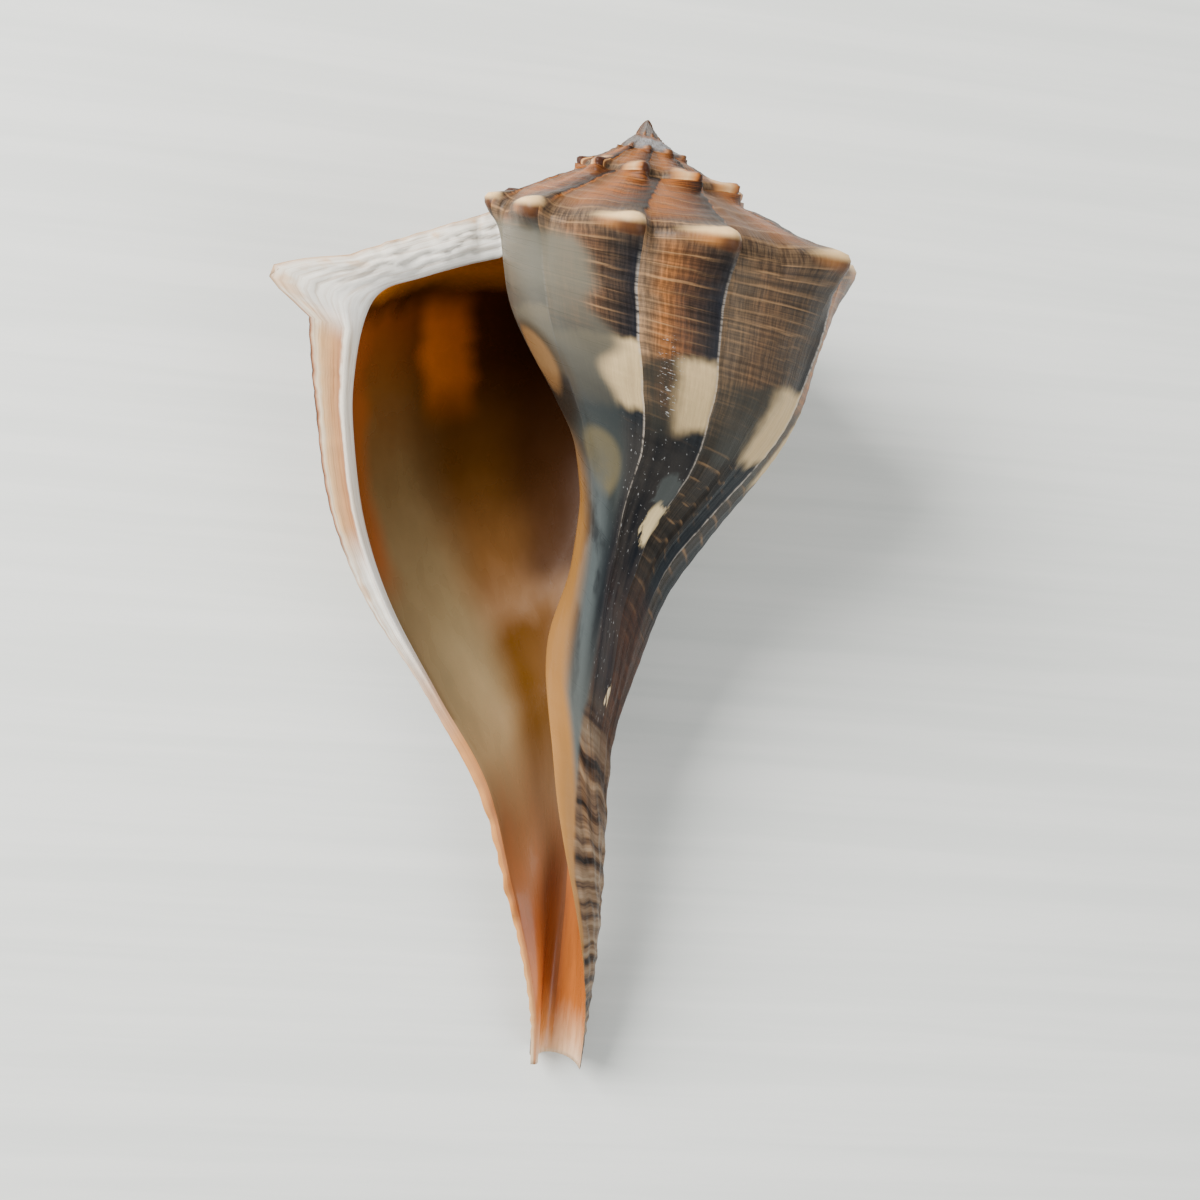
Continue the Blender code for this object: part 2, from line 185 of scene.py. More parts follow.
@dataclass(frozen=True)
class Spines:
    """The knobs on the shoulder, by the turn angle of each."""

    turns: tuple[float, ...] = (
        180.0, 225.0, 262.5, 300.0, 345.0, 379.5, 424.5, 451.5, 487.5, 525.0,
        562.5, 600.0, 637.5, 675.0, 705.0, 735.0, 772.5, 810.0, 847.5, 900.0,
    )
    pitch: float = 37.5
    height: float = 8.4 * MM
    share: float = 0.8
    back_share: tuple[float, float] = (0.68, 320.0)
    spire_share: float = 1.3
    depth: float = 28.6 * MM
    spire_depth: float = 27.8 * MM
    old_width: float = 19.0 * MM
    young_width: float = 4.4 * MM
    above: float = 3.2 * MM
    below: float = 6.0 * MM
    cone: tuple[float, float, float] = (13.0 * MM, 6.3 * MM, 5.0 * MM)
    fade_power: tuple[float, float] = (1.15, 2.0)
    crest: float = 1.9 * MM
    spire_crest: float = 2.4
    crest_above: float = 0.7 * MM
    warm_below: float = 0.9 * MM
    warm_spread: float = 1.4
    rise: tuple[float, float] = (8.0, 20.0)
    rise_turns: tuple[float, float] = (310.0, 335.0)
    first_scale: float = 0.06
    step_offset: float = 3.0
    wide_step: tuple[float, float] = (379.5, 6.0)
    last_turn: float = 2160.0
    spire_turn: float = 541.0

    def every_turn(self) -> list[float]:
        """Every knob's turn angle, to the tip of the spire.

        Returns:
            One angle for each knob, from the lip back.
        """
        turns = list(self.turns)
        while turns[-1] < self.last_turn:
            turns.append(turns[-1] + self.pitch)
        return turns

    def steps(self) -> Points:
        """Turn angles of the growth steps, one at the young side of each knob."""
        wide, offset = self.wide_step
        return np.array([turn - (offset if turn == wide else self.step_offset) for turn in self.every_turn()])

    def reach(self, turn: Points, own: Points, radius: float) -> tuple[Points, Points, Points]:
        """How strongly a place belongs to a knob, to its pale crest and to the orange under the crest.

        Args:
            turn: Turn angle.
            own: Depth at lip size.
            radius: Radius of the shoulder at lip size.

        Returns:
            Three values, each 0 away from the knobs and up to 1 at a knob's tip.
        """
        out = np.zeros(np.broadcast(turn, own).shape)
        cream, warm = np.zeros(out.shape), np.zeros(out.shape)
        for spine in self.every_turn():
            down = own - (self.depth if spine < self.spire_turn else self.spire_depth)
            behind = np.radians(turn - spine) * radius
            across = np.where(behind > 0, behind / self.old_width, -behind / self.young_width)
            along = np.clip(1 - np.clip(across, 0, 1) ** np.where(behind > 0, *self.fade_power), 0, 1)
            fall = np.abs(np.where(down < 0, down / self.above, down / self.below))
            strength = self.share if spine < self.spire_turn else self.spire_share
            if spine < self.back_share[1]:
                strength = self.back_share[0]
            near = strength * along * np.exp(-(fall**1.6))
            if spine == self.turns[0]:
                old, young, half = self.cone
                across = np.where(behind > 0, behind / old, behind / young)
                near = np.clip(1 - np.sqrt(across**2 + (down / half) ** 2 + 0.002), 0, 1)
            out = np.maximum(out, near)
            wide = self.crest * (1.0 if spine < self.spire_turn else self.spire_crest)
            cream = np.maximum(cream, along * bell((down + self.crest_above) / wide))
            warm = np.maximum(warm, along * bell((down - self.warm_below) / (self.warm_spread * wide)))
        return out, cream, warm


@dataclass(frozen=True)
class ShellForm:
    """The shape that the whole shell grows by, at lip size."""

    ratio: float = 2.4
    lip_turn: float = 180.0
    spire_turns: float = 3.5
    outline: Table = (
        (48.2 * MM / 2.4, 30.4 * MM / 2.4),
        (27.0 * MM, 15.6 * MM),
        (36.0 * MM, 19.9 * MM),
        (44.0 * MM, 24.4 * MM),
        (48.2 * MM, 30.4 * MM),
        (47.7 * MM, 40.0 * MM),
        (46.1 * MM, 50.5 * MM),
        (42.7 * MM, 65.5 * MM),
        (35.4 * MM, 79.0 * MM),
        (25.2 * MM, 93.3 * MM),
        (16.2 * MM, 107.0 * MM),
        (10.2 * MM, 124.5 * MM),
        (6.3 * MM, 136.5 * MM),
        (4.0 * MM, 146.5 * MM),
        (3.2 * MM, 155.0 * MM),
    )
    foot: tuple[float, float] = (48.2 * MM, 30.4 * MM)
    foot_knot: float = 4.0
    canal_end: float = 155.0 * MM
    spiral_depth: float = 65.0 * MM
    flatten_power: float = 1.2
    canal_fade: float = 80.0 * MM
    sink_most: float = 2.1 * MM
    sink_turns: tuple[float, float] = (300.0, 460.0)
    sink_scale: float = 0.05
    sink_fade_depth: float = 80.0 * MM
    pillar: Table = (
        (0.2 * MM, 0.0 * MM),
        (1.2 * MM, 9.0 * MM),
        (3.4 * MM, 24.0 * MM),
        (4.4 * MM, 61.0 * MM),
        (5.6 * MM, 82.0 * MM),
        (4.2 * MM, 98.0 * MM),
        (5.2 * MM, 116.0 * MM),
        (5.8 * MM, 134.0 * MM),
        (5.2 * MM, 155.0 * MM),
    )
    pillar_blend: float = 4.0
    pillar_start: float = 65.0
    back_swell: float = 0.32
    edge_top: float = 85.0 * MM
    edge_curve: float = 1.1
    edge_flare: float = 1.8 * MM
    edge_flare_turn: float = 22.0
    edge_flare_in: tuple[float, float] = (68.0 * MM, 14.0 * MM)
    edge_flare_out: tuple[float, float] = (135.0 * MM, 40.0 * MM)
    edge_end_turn: float = 360.0
    spines: Spines = field(default_factory=Spines)
    growth_line_shift: Table = (
        (0.0, 0.0), (4.0, 0.0), (5.5, 1.0), (6.6, 3.5), (7.6, 8.0), (8.4, 15.0), (9.4, 16.0), (11.0, 0.0),
        (14.0, 0.0),
    )
    tones: Table = ((0.0, 0.5), (0.85, 0.36), (0.2, 0.5), (0.45, 1.3), (0.4, 1.3), (0.2, 0.8))
    first_tone: int = 4
    bow_in: Span = (0.535, 0.11)
    bow_out: float = 0.2
    ramp_lag: Table = ((0.0, 13.0), (1.0, 8.0), (2.0, 3.5), (3.0, 0.8), (4.0, 0.0))

    def scale(self, turn: Any) -> Points:
        """Size of the spiral at a turn angle, 1 at the lip."""
        return np.exp(-math.log(self.ratio) / FULL_TURN * (np.asarray(turn, float) - self.lip_turn))

    def dense(self, curve: Table) -> Points:
        """Many (radius, depth) points along a curve given by a few."""
        return read_curve(curve, np.linspace(0, len(curve) - 1, 400))

    def pillar_radius(self, depth: Points) -> Points:
        """Radius of the pillar about the axis."""
        pillar = self.dense(self.pillar)
        return np.interp(depth, pillar[:, 1], pillar[:, 0])

    def whorl_radius(self, turn: Points, depth: Points) -> Points:
        """Radius of the spiral alone.

        Args:
            turn: Turn angle.
            depth: Depth of each place.

        Returns:
            The radius at each place.
        """
        scale = self.scale(turn)
        own = depth / scale
        outline = self.dense(self.outline)
        radius = np.interp(own, outline[:, 1], outline[:, 0])
        return scale * radius * np.exp(-np.clip(own - self.canal_end, 0, None) / self.canal_fade)

    def outer_radius(self, turn: Points, depth: Points) -> Points:
        """Radius of the outside, with the pillar and the back of the canal.

        Args:
            turn: Turn angle.
            depth: Depth of each place.

        Returns:
            The radius at each place.
        """
        back = self.back_swell * np.clip(-np.sin(np.radians(turn)), 0, 1) * (turn <= self.edge_end_turn)
        rod = self.pillar_radius(depth) * smooth_step((turn - self.lip_turn) / self.pillar_start) * (1 + back)
        return self.blended(self.whorl_radius(turn, depth), rod)

    def inner_radius(self, back: float, depth: Points) -> Points:
        """Radius of the cavity's inner side, back degrees behind the lip."""
        spiral = self.whorl_radius(self.lip_turn + FULL_TURN + back, depth)
        return self.blended(spiral, self.pillar_radius(depth))

    def blended(self, spiral: Points, rod: Points) -> Points:
        """The larger of two radii, with a soft corner where they cross."""
        return (spiral**self.pillar_blend + rod**self.pillar_blend) ** (1 / self.pillar_blend)

    def sink(self, turn: Points) -> Points:
        """How much deeper the shoulder sits than the spiral alone would put it.

        Args:
            turn: Turn angle.

        Returns:
            The extra depth, in metres.
        """
        start, end = self.sink_turns
        early = 1 - np.exp(-self.scale(turn) / self.sink_scale)
        return self.sink_most * smooth_step((turn - start) / (end - start)) * early

    def row_sink(self, turn: Points, knot: Points, own: Points) -> Points:
        """The same for every row: the suture follows the whorl before it, and the base doesn't move.

        Args:
            turn: Turn angle.
            knot: Place along the profile.
            own: Depth at lip size.

        Returns:
            The extra depth of each row, in metres.
        """
        share = smooth_step(np.clip(knot / self.foot_knot, 0, 1))
        ramp = self.sink(turn + FULL_TURN) * (1 - share) + self.sink(turn) * share
        return ramp * (1 - smooth_step((own - self.foot[1]) / (self.sink_fade_depth - self.foot[1])))

    def row_depth(self, own: Points, back: Any) -> Points:
        """Depth of a row that starts at the lip at depth own, followed back degrees round.

        Args:
            own: Depth at the lip.
            back: Degrees behind the lip.

        Returns:
            The depth of each row there.
        """
        part = np.clip((own - self.spiral_depth) / (self.canal_end - self.spiral_depth), 0, 1)
        share = (0.5 + 0.5 * np.cos(np.pi * part)) ** self.flatten_power
        return own * np.exp(-math.log(self.ratio) / FULL_TURN * back * share)

    def edge_turn(self, depth: Points) -> Points:
        """Turn angle at which the outside ends, along the inner side of the aperture.

        Args:
            depth: Depth of each place.

        Returns:
            The turn angle of the edge.
        """
        part = np.clip((self.canal_end - depth) / (self.canal_end - self.edge_top), 0, 1)
        whole = self.lip_turn + FULL_TURN
        return self.edge_end_turn + (whole - self.edge_end_turn) * part**self.edge_curve

    def own_depth(self, knot: Points) -> Points:
        """Depth of a knot at the lip."""
        return read_curve(self.outline, knot)[..., 1]

    def arc_length(self, knot: Points) -> Points:
        """Length along the profile from the suture to a knot, at lip size.

        Args:
            knot: Place along the profile.

        Returns:
            The length, in metres.
        """
        knots = np.linspace(0, len(self.outline) - 1, 600)
        steps = np.linalg.norm(np.diff(read_curve(self.outline, knots), axis=0), axis=1)
        return np.interp(knot, knots, np.concatenate([[0.0], np.cumsum(steps)]))

    def knots_between(self, first: float, last: float, count: int) -> Points:
        """Knots from first to last, evenly spaced along the profile.

        Args:
            first: The first knot.
            last: The last knot.
            count: How many steps lie between them.

        Returns:
            The knots, both ends included.
        """
        knots = np.linspace(first, last, 400)
        lengths = self.arc_length(knots)
        return np.interp(np.linspace(lengths[0], lengths[-1], count + 1), lengths, knots)

    def segment_turn(self, turn: Points, knot: Points) -> Points:
        """Turn angle that tells a place's growth segment: on the ramp the steps bend forward."""
        return turn + read_table(self.ramp_lag, knot)

    def tone(self, index: int) -> tuple[float, float]:
        """How plain a growth segment is, and how much of its width the cream patch takes.

        Args:
            index: Number of the segment, counted back from the lip.

        Returns:
            The two shares.
        """
        shown = index - self.first_tone
        if 0 <= shown < len(self.tones):
            return self.tones[shown]
        return 0.4 + 0.4 * math.sin(2.9 * index), 0.55 + 0.15 * math.sin(1.7 * index)

    def surface(self, along: Points, knot: Points) -> tuple[Points, Points, Points, Points]:
        """Points of the outside.

        Args:
            along: 0 at the lip, 1 a whole turn back, and more on the spire.
            knot: Place along the profile.

        Returns:
            The points, how strongly each belongs to a knob's crest and to the orange under it, and the
            size of the spiral there.
        """
        own = self.own_depth(knot)
        depth = self.row_depth(own, FULL_TURN * along)
        end_depth = self.row_depth(own, FULL_TURN)
        width = np.where(along <= 1, self.edge_turn(end_depth) - self.lip_turn, FULL_TURN)
        (start, over), fade = self.bow_in, self.bow_out
        bow = read_table(self.growth_line_shift, knot) * smooth_step((along - start) / over)
        bow = bow * smooth_step((1 - along) / fade)
        turn = self.lip_turn + along * width - bow
        flare = bell((1 - along) * width / self.edge_flare_turn) * (along <= 1)
        flare = flare * smooth_step((end_depth - self.edge_flare_in[0]) / self.edge_flare_in[1])
        flare = flare * smooth_step((self.edge_flare_out[0] - end_depth) / self.edge_flare_out[1])
        radius = self.outer_radius(turn, depth) + self.edge_flare * flare
        scale = self.scale(turn)
        before, _, _ = self.spines.reach(turn + FULL_TURN, np.array(self.spines.depth), self.foot[0])
        before = before / self.ratio * smooth_step(1 - knot / 0.8)
        reach, crest, warm = self.spines.reach(turn, own, self.foot[0])
        push = self.spines.height * scale * smooth_step(scale / self.spines.first_scale - 1)
        push = push * np.maximum(reach, before)
        rise = np.radians(np.interp(turn, self.spines.rise_turns, self.spines.rise))
        depth = depth + self.row_sink(turn, knot, own) - push * np.sin(rise)
        return to_space(turn, radius + push * np.cos(rise), depth), crest, warm, scale


@dataclass(frozen=True)
class Relief:
    """Low relief on the outside: growth steps, spiral cords, growth ridges and slow waves."""

    form: ShellForm
    step_height: Table = (
        (0.0, 0.0), (1.0, 0.25), (3.0, 0.5), (4.0, 1.0), (5.5, 0.9), (7.0, 0.6), (9.0, 0.7), (10.4, 0.3),
        (11.0, 0.0), (14.0, 0.0),
    )
    step_width: float = 11.0
    cord_height: float = 0.16 * MM
    cord_pitch: float = 3.3 * MM
    fine_knot: float = 7.9
    ramp_cords: int = 7
    ridge_height: float = 0.10 * MM
    wave_height: float = 0.25 * MM
    fasciole_height: float = 0.20 * MM
    glaze_edge: Table = (
        (4.0, 470.0), (4.9, 464.0), (6.4, 461.0), (7.9, 460.0), (9.0, 458.0), (9.8, 450.0),
        (10.4, 458.0), (10.7, 486.0), (11.0, 502.0), (11.5, 528.0), (12.2, 537.0), (14.0, 539.0),
    )
    glaze_width: float = 9.0

    def glaze(self, turn: Points, knot: Points) -> Points:
        """1 where the smooth glaze beside the aperture covers the outside, 0 where it doesn't.

        Args:
            turn: Turn angle.
            knot: Place along the profile.

        Returns:
            The mask, from 0 to 1.
        """
        edge = read_table(self.glaze_edge, knot) + 5.0 * ripple(knot / 1.3, knot / 2.9, 0.6)
        over = smooth_step((turn - edge) / self.glaze_width + 0.5) * smooth_step((knot - 4.1) / 0.5)
        return over * (turn <= self.form.lip_turn + FULL_TURN + 0.01)

    def cords(self, turn: Points, knot: Points) -> Points:
        """0 between the spiral cords and 1 on their crests, which waver and shift a little at each step.

        Args:
            turn: Turn angle.
            knot: Place along the profile.

        Returns:
            The mask, from 0 to 1.
        """
        length = self.form.arc_length(knot)
        foot = self.form.arc_length(np.array(self.form.foot_knot))
        ramp = length / foot * self.ramp_cords
        low = np.clip(length - self.form.arc_length(np.array(self.fine_knot)), 0, None)
        phase = np.where(knot < self.form.foot_knot, ramp, (length - foot + low) / self.cord_pitch)
        index = np.searchsorted(self.form.spines.steps(), turn)
        shift = 0.16 * np.sin(2.7 * index) + 0.10 * ripple(turn / 16.0, knot / 2.1, 2.9)
        return 0.5 + 0.5 * np.cos(2 * np.pi * (phase + shift))

    def behind_step(self, turn: Points) -> Points:
        """Degrees behind the last growth step.

        Args:
            turn: Turn angle.

        Returns:
            Degrees.
        """
        steps = self.form.spines.steps()
        index = np.clip(np.searchsorted(steps, turn + 1e-6) - 1, 0, len(steps) - 1)
        return np.clip(turn - steps[index], 0, None)

    def height(self, turn: Points, knot: Points, scale: Points) -> Points:
        """Height of the relief over the smooth form.

        Args:
            turn: Turn angle.
            knot: Place along the profile.
            scale: Size of the spiral there.

        Returns:
            Height in metres, along the outward normal.
        """
        bare = 1 - 0.8 * self.glaze(turn, knot)
        body = smooth_step(knot / 0.6) * smooth_step((11.0 - knot) / 2.0)
        behind = self.behind_step(self.form.segment_turn(turn, knot))
        out = MM * read_table(self.step_height, knot) * np.exp(-behind / self.step_width)
        cord = (self.cords(turn, knot) - 0.5) * body
        out = out + self.cord_height * cord * (0.7 + 0.3 * ripple(turn / 23, knot, 2.2))
        out = out + self.ridge_height * ripple(turn / 5.0, knot / 7.0, 3.4) * body
        slow = ripple(turn / 34.0, knot / 1.7, 1.3) * smooth_step(knot / 1.5)
        slow = slow * smooth_step((13.5 - knot) / 2.0)
        low = smooth_step((knot - 10.0) / 0.6) * smooth_step((13.8 - knot) / 0.8)
        wrinkle = np.sin(knot * 21.0 + 0.05 * turn + 1.6 * ripple(turn / 60.0, knot / 1.1, 4.0))
        out = out + self.wave_height * slow + self.fasciole_height * wrinkle * low
        return out * bare * np.sqrt(scale)


@dataclass
class OuterWhorls:
    """The outside of the shell, from the lip to the tip of the spire."""

    form: ShellForm
    relief: Relief
    rows: Points
    ramp_rows: int
    columns: int = 240
    nub_top: float = 0.3 * MM
    edge_fade: float = 2.2
    full_age: float = 34.0

    def wave_of_edge(self, knot: Points) -> Points:
        """How far the lip's edge stands forward of the plane of growth, in metres.

        Args:
            knot: Place along the profile.

        Returns:
            The distance for each row.
        """
        scallop = 0.9 * MM * ripple(knot * 2.6, knot * 0.7, 5.0) * smooth_step((4.3 - knot) / 0.4)
        crimp = 0.16 * MM * np.sin(2 * np.pi * self.form.arc_length(knot) / (0.5 * self.relief.cord_pitch))
        ragged = 0.7 * MM * ripple(knot * 2.6, knot * 1.1, 7.0) * smooth_step((knot - 9.8) / 0.5)
        ragged = ragged * smooth_step((12.2 - knot) / 0.9)
        return scallop + crimp * (knot >= 4.2) * smooth_step((11.5 - knot) / 1.5) + ragged

    def build(self) -> tuple[Patch, Patch]:
        """Makes both grids.

        Returns:
            The spire and the body whorl.
        """
        rows, ramp, count = self.rows, self.ramp_rows, self.columns
        spire_count = int(count * self.form.spire_turns)
        along = 1 + np.arange(spire_count + 1)[:, None] / count
        spire, spire_masks = self.dress(along, rows[None, : ramp + 1])
        tip = np.array([0.0, self.nub_top, 0.0])
        first = spire_count - count
        part = np.linspace(0, 1, ramp + 1)[None, :, None]
        capped = tip + (spire[first:, -1:, :] - tip) * np.concatenate([part**0.7, part**1.2, part**0.7], -1)
        share = smooth_step(np.arange(count + 1) / (0.3 * count))[:, None, None]
        spire[first:] = spire[first:] * (1 - share) + capped * share
        spire[: first + 1, 0] = spire[count:, -1]
        spire[first + 1 :, 0] = tip
        spire[-1, :-1] = tip
        along_body = np.arange(count + 1)[:, None] / count
        body, body_masks = self.dress(along_body, rows[None, :])
        forward = np.exp(-along_body * FULL_TURN / self.edge_fade) * self.wave_of_edge(rows)[None, :]
        body[..., 2] += forward
        body[:, 0] = spire[: count + 1, -1]
        body[-1, : ramp + 1] = spire[0]
        turns = self.form.lip_turn + FULL_TURN * along
        body_turns = self.form.lip_turn + FULL_TURN * along_body
        return (
            self.patch(spire, turns, rows[: ramp + 1], spire_masks),
            self.patch(body, body_turns, rows, body_masks),
        )

    def dress(self, along: Points, knot: Points) -> tuple[Points, Points]:
        """The smooth form with its relief, and the masks that the finish reads.

        Args:
            along: Turns back from the lip.
            knot: Place along the profile.

        Returns:
            Points, and masks for glaze, crests of knobs, cords, orange under the crests and age behind
            the last growth step.
        """
        points, crest, warm, scale = self.form.surface(along, knot)
        turn = self.form.lip_turn + FULL_TURN * along + 0 * knot
        knots = knot + 0 * along
        height = self.relief.height(turn, knots, scale + 0 * turn)
        points = points + outward_normals(points) * height[..., None]
        glaze = self.relief.glaze(turn, knots)
        behind = self.relief.behind_step(self.form.segment_turn(turn, knots))
        age = np.clip(behind / self.full_age, 0, 1)
        return points, np.stack([glaze, crest, self.relief.cords(turn, knots), warm, age], -1)

    def patch(self, points: Points, turn: Points, rows: Points, masks: Points) -> Patch:
        """A patch of the outside."""
        return Patch(Region.OUTSIDE, points, turn + 0 * rows[None, :], rows[None, :] + 0 * turn, masks)


@dataclass
class Cavity:
    """The hollow: its outer side and inner side, each in front of and behind the floor of the chamber."""

    form: ShellForm
    rows: Points
    ramp_rows: int
    lip_steps: int
    floor_row: int
    steps_to_floor: int = 36
    steps_behind: int = 60
    inner_edge: Table = (
        (19.6 * MM, 19.8 * MM),
        (26.0 * MM, 22.2 * MM),
        (33.0 * MM, 25.6 * MM),
        (38.5 * MM, 28.7 * MM),
        (41.0 * MM, 33.4 * MM),
        (42.1 * MM, 41.5 * MM),
        (41.8 * MM, 50.5 * MM),
        (38.9 * MM, 65.5 * MM),
        (33.4 * MM, 79.0 * MM),
        (24.3 * MM, 93.3 * MM),
        (15.2 * MM, 107.0 * MM),
        (9.3 * MM, 124.5 * MM),
        (5.5 * MM, 136.5 * MM),
        (3.2 * MM, 146.5 * MM),
        (2.4 * MM, 155.0 * MM),
    )
    inner_edge_turn: float = 3.0
    wall: float = 2.6 * MM
    wall_turn: float = 40.0
    canal_wall: float = 1.7 * MM
    canal_wall_depth: float = 100.0 * MM
    canal_wall_blend: float = 24.0 * MM
    roof_share: float = 0.45
    pocket_turn: float = 300.0
    pocket_round: float = 60.0
    floor_turn: float = 90.0
    floor_shrink: float = 0.0037
    gutter_top: tuple[float, float] = (-5.0 * MM, -5.6 * MM)
    gutter_low: tuple[float, float] = (4.4 * MM, -4.8 * MM)
    gutter_low_depth: float = 121.0 * MM
    least_gap: float = 0.4 * MM
    soften_times: int = 90

    def band_point(self, back: float, knot: Points, floor: float | None = None) -> tuple[Points, Points]:
        """Radius and depth of the cavity's outer side.

        Args:
            back: Degrees behind the lip.
            knot: Place along the profile.
            floor: Depth that the last row is brought to, or None to leave the rows alone.

        Returns:
            Radius and depth of each row.
        """
        outer = read_curve(self.form.outline, knot)
        offset = read_curve(self.inner_edge, knot) - outer
        own = outer[..., 1]
        thinner = smooth_step((own - self.canal_wall_depth) / self.canal_wall_blend + 0.5)
        wall = self.wall + (self.canal_wall - self.wall) * thinner
        thick = wall / np.linalg.norm(offset, axis=-1)
        factor = 1 + (thick - 1) * smooth_step((back - self.inner_edge_turn) / self.wall_turn)
        turn = self.form.lip_turn + back
        depth = self.form.row_depth(own, back)
        if floor is not None:
            depth = depth[0] + (depth - depth[0]) * (floor - depth[0]) / (depth[-1] - depth[0])
        push = self.form.scale(turn) * factor
        radius = self.form.outer_radius(turn, depth) + push * offset[..., 0]
        return radius, depth + self.form.row_sink(turn, knot, own) + push * offset[..., 1]

    def inner_wall(self, back: float, depth: Points) -> Points:
        """Points on the inner side of the cavity, back degrees behind the lip.

        Args:
            back: Degrees behind the lip.
            depth: Depth of each place.

        Returns:
            One point for each depth.
        """
        turn = self.form.lip_turn + FULL_TURN + back
        sunk = depth + self.form.row_sink(turn, np.array(self.form.foot_knot), depth / self.form.scale(turn))
        return to_space(turn, self.form.inner_radius(back, depth), sunk)

    def roof_depth(self, back: float, first: float) -> float:
        """Depth at which the roof meets the inner side, where first is that depth at the lip.

        Args:
            back: Degrees behind the lip.
            first: The roof's depth at the lip.

        Returns:
            The depth.
        """
        suture = self.form.foot[1] / self.form.ratio
        share = 1 + (self.roof_share - 1) * smooth_step(back / self.wall_turn)
        return self.form.scale(self.form.lip_turn + back) * (suture + share * (first - suture))

    def build(self, body: Points) -> list[Patch]:
        """Makes the hollow's grids.

        Args:
            body: Points of the body whorl's outside, whose last column the hollow joins.

        Returns:
            Outer side and inner side in front of the floor, then the same behind it.
        """
        rows, top, floor = self.rows, self.ramp_rows + self.lip_steps, self.floor_row
        edge = body[-1, top:]
        front = np.linspace(0, 1, self.steps_to_floor + 1)
        behind = np.linspace(self.floor_turn, self.pocket_turn, self.steps_behind + 1)
        backs = self.inner_edge_turn + (self.floor_turn - self.inner_edge_turn) * front
        outer_front = np.stack([to_space(self.form.lip_turn + b, *self.band_point(b, rows)) for b in backs])
        inner_front = np.empty((len(front), len(rows) - top, 3))
        edge_depth = self.form.row_depth(self.form.own_depth(rows[top:]), FULL_TURN)
        low = smooth_step((edge_depth - self.form.edge_top) / (self.gutter_low_depth - self.form.edge_top))
        ends = outer_front[-1, top:]
        across = self.gutter_top[0] + (self.gutter_low[0] - self.gutter_top[0]) * low
        deep = self.gutter_top[1] + (self.gutter_low[1] - self.gutter_top[1]) * low
        corner = np.stack([across, (edge[:, 1] + ends[:, 1]) / 2, deep], -1)
        split = floor - top
        spread = (edge_depth[: split + 1] - edge_depth[0]) / (edge_depth[split] - edge_depth[0])
        for i, part in enumerate(front):
            gutter = bend(edge, corner, ends, part)
            back = self.floor_turn * part
            roof = self.roof_depth(back, edge_depth[0])
            wall = self.inner_wall(back, roof + spread * (-gutter[split, 1] - roof))
            share = smooth_step((spread - 0.7) / 0.3)[:, None] ** 2
            inner_front[i, : split + 1] = wall * (1 - share) + gutter[: split + 1] * share
            inner_front[i, split:] = gutter[split:]
        inner_front[0] = edge
        outer_front[:, 0] = inner_front[:, 0]
        inner_front[-1, split:] = outer_front[-1, floor:]
        outer_behind = np.empty((len(behind), floor + 1, 3))
        inner_behind = np.empty((len(behind), split + 1, 3))
        floor_start = -outer_front[-1, floor, 1]
        for i, back in enumerate(behind):
            floor_depth = floor_start * math.exp(-self.floor_shrink * (back - self.floor_turn))
            radius, depth = self.band_point(back, rows[: floor + 1], floor_depth)
            roof = self.roof_depth(back, edge_depth[0])
            radius = np.maximum(radius, self.form.inner_radius(back, depth) + self.least_gap)
            outer_behind[i] = to_space(self.form.lip_turn + back, radius, depth)
            inner_behind[i] = self.inner_wall(back, roof + spread * (floor_depth - roof))
            outer_behind[i, 0] = inner_behind[i, 0]
            inner_behind[i, -1] = outer_behind[i, -1]
            middle = (outer_behind[i].mean(0) + inner_behind[i].mean(0)) / 2
            reached = max(0.0, (back - self.pocket_turn) / self.pocket_round + 1)
            closing = math.sqrt(max(0.0, 1 - reached**2))
            outer_behind[i] = middle + (outer_behind[i] - middle) * closing
            inner_behind[i] = middle + (inner_behind[i] - middle) * closing
        self.soften(outer_front, inner_front, floor, split)
        outer_behind[0] = outer_front[-1, : floor + 1]
        inner_behind[0] = inner_front[-1, : split + 1]
        side = self.floor_turn * front
        return [
            self.patch(outer_front, backs, rows, 0.0),
            self.patch(inner_front, side, rows[top:], 1.0),
            self.patch(outer_behind, behind, rows[: floor + 1], 0.0),
            self.patch(inner_behind, behind, rows[top : floor + 1], 1.0),
        ]

    def soften(self, outer: Points, inner: Points, floor: int, split: int) -> None:
        """Rounds the floor of the canal, where its outer and inner sides meet.

        Args:
            outer: Points of the outer side in front of the floor, changed in place.
            inner: Points of the inner side in front of the floor, changed in place.
            floor: The row of the floor on the outer side.
            split: The row of the floor on the inner side.
        """
        across = np.concatenate([outer[:, floor:], inner[-2::-1, split:]])
        share = smooth_step((self.rows[floor:] - self.rows[floor]) / 0.9)[None, :, None]
        for _ in range(self.soften_times):
            middle = (across[:-2] + across[2:]) / 2
            across[1:-1] += (middle - across[1:-1]) * 0.5 * share
        count = len(outer)
        outer[:, floor:] = across[:count]
        inner[:, split:] = across[count - 1 :][::-1]

    def patch(self, points: Points, backs: Points, rows: Points, inner: float) -> Patch:
        """Makes a patch of the hollow.

        Args:
            points: The grid.
            backs: Degrees behind the lip of each column.
            rows: Knot of each row.
            inner: 1 on the inner side and 0 on the outer, the one mask that the finish reads.

        Returns:
            The patch.
        """
        masks = np.zeros((*points.shape[:2], MASKS))
        masks[..., 0] = inner
        turn = self.form.lip_turn + backs[:, None] + 0 * rows[None, :]
        return Patch(Region.CAVITY, points, turn, rows[None, :] + 0 * turn, masks)


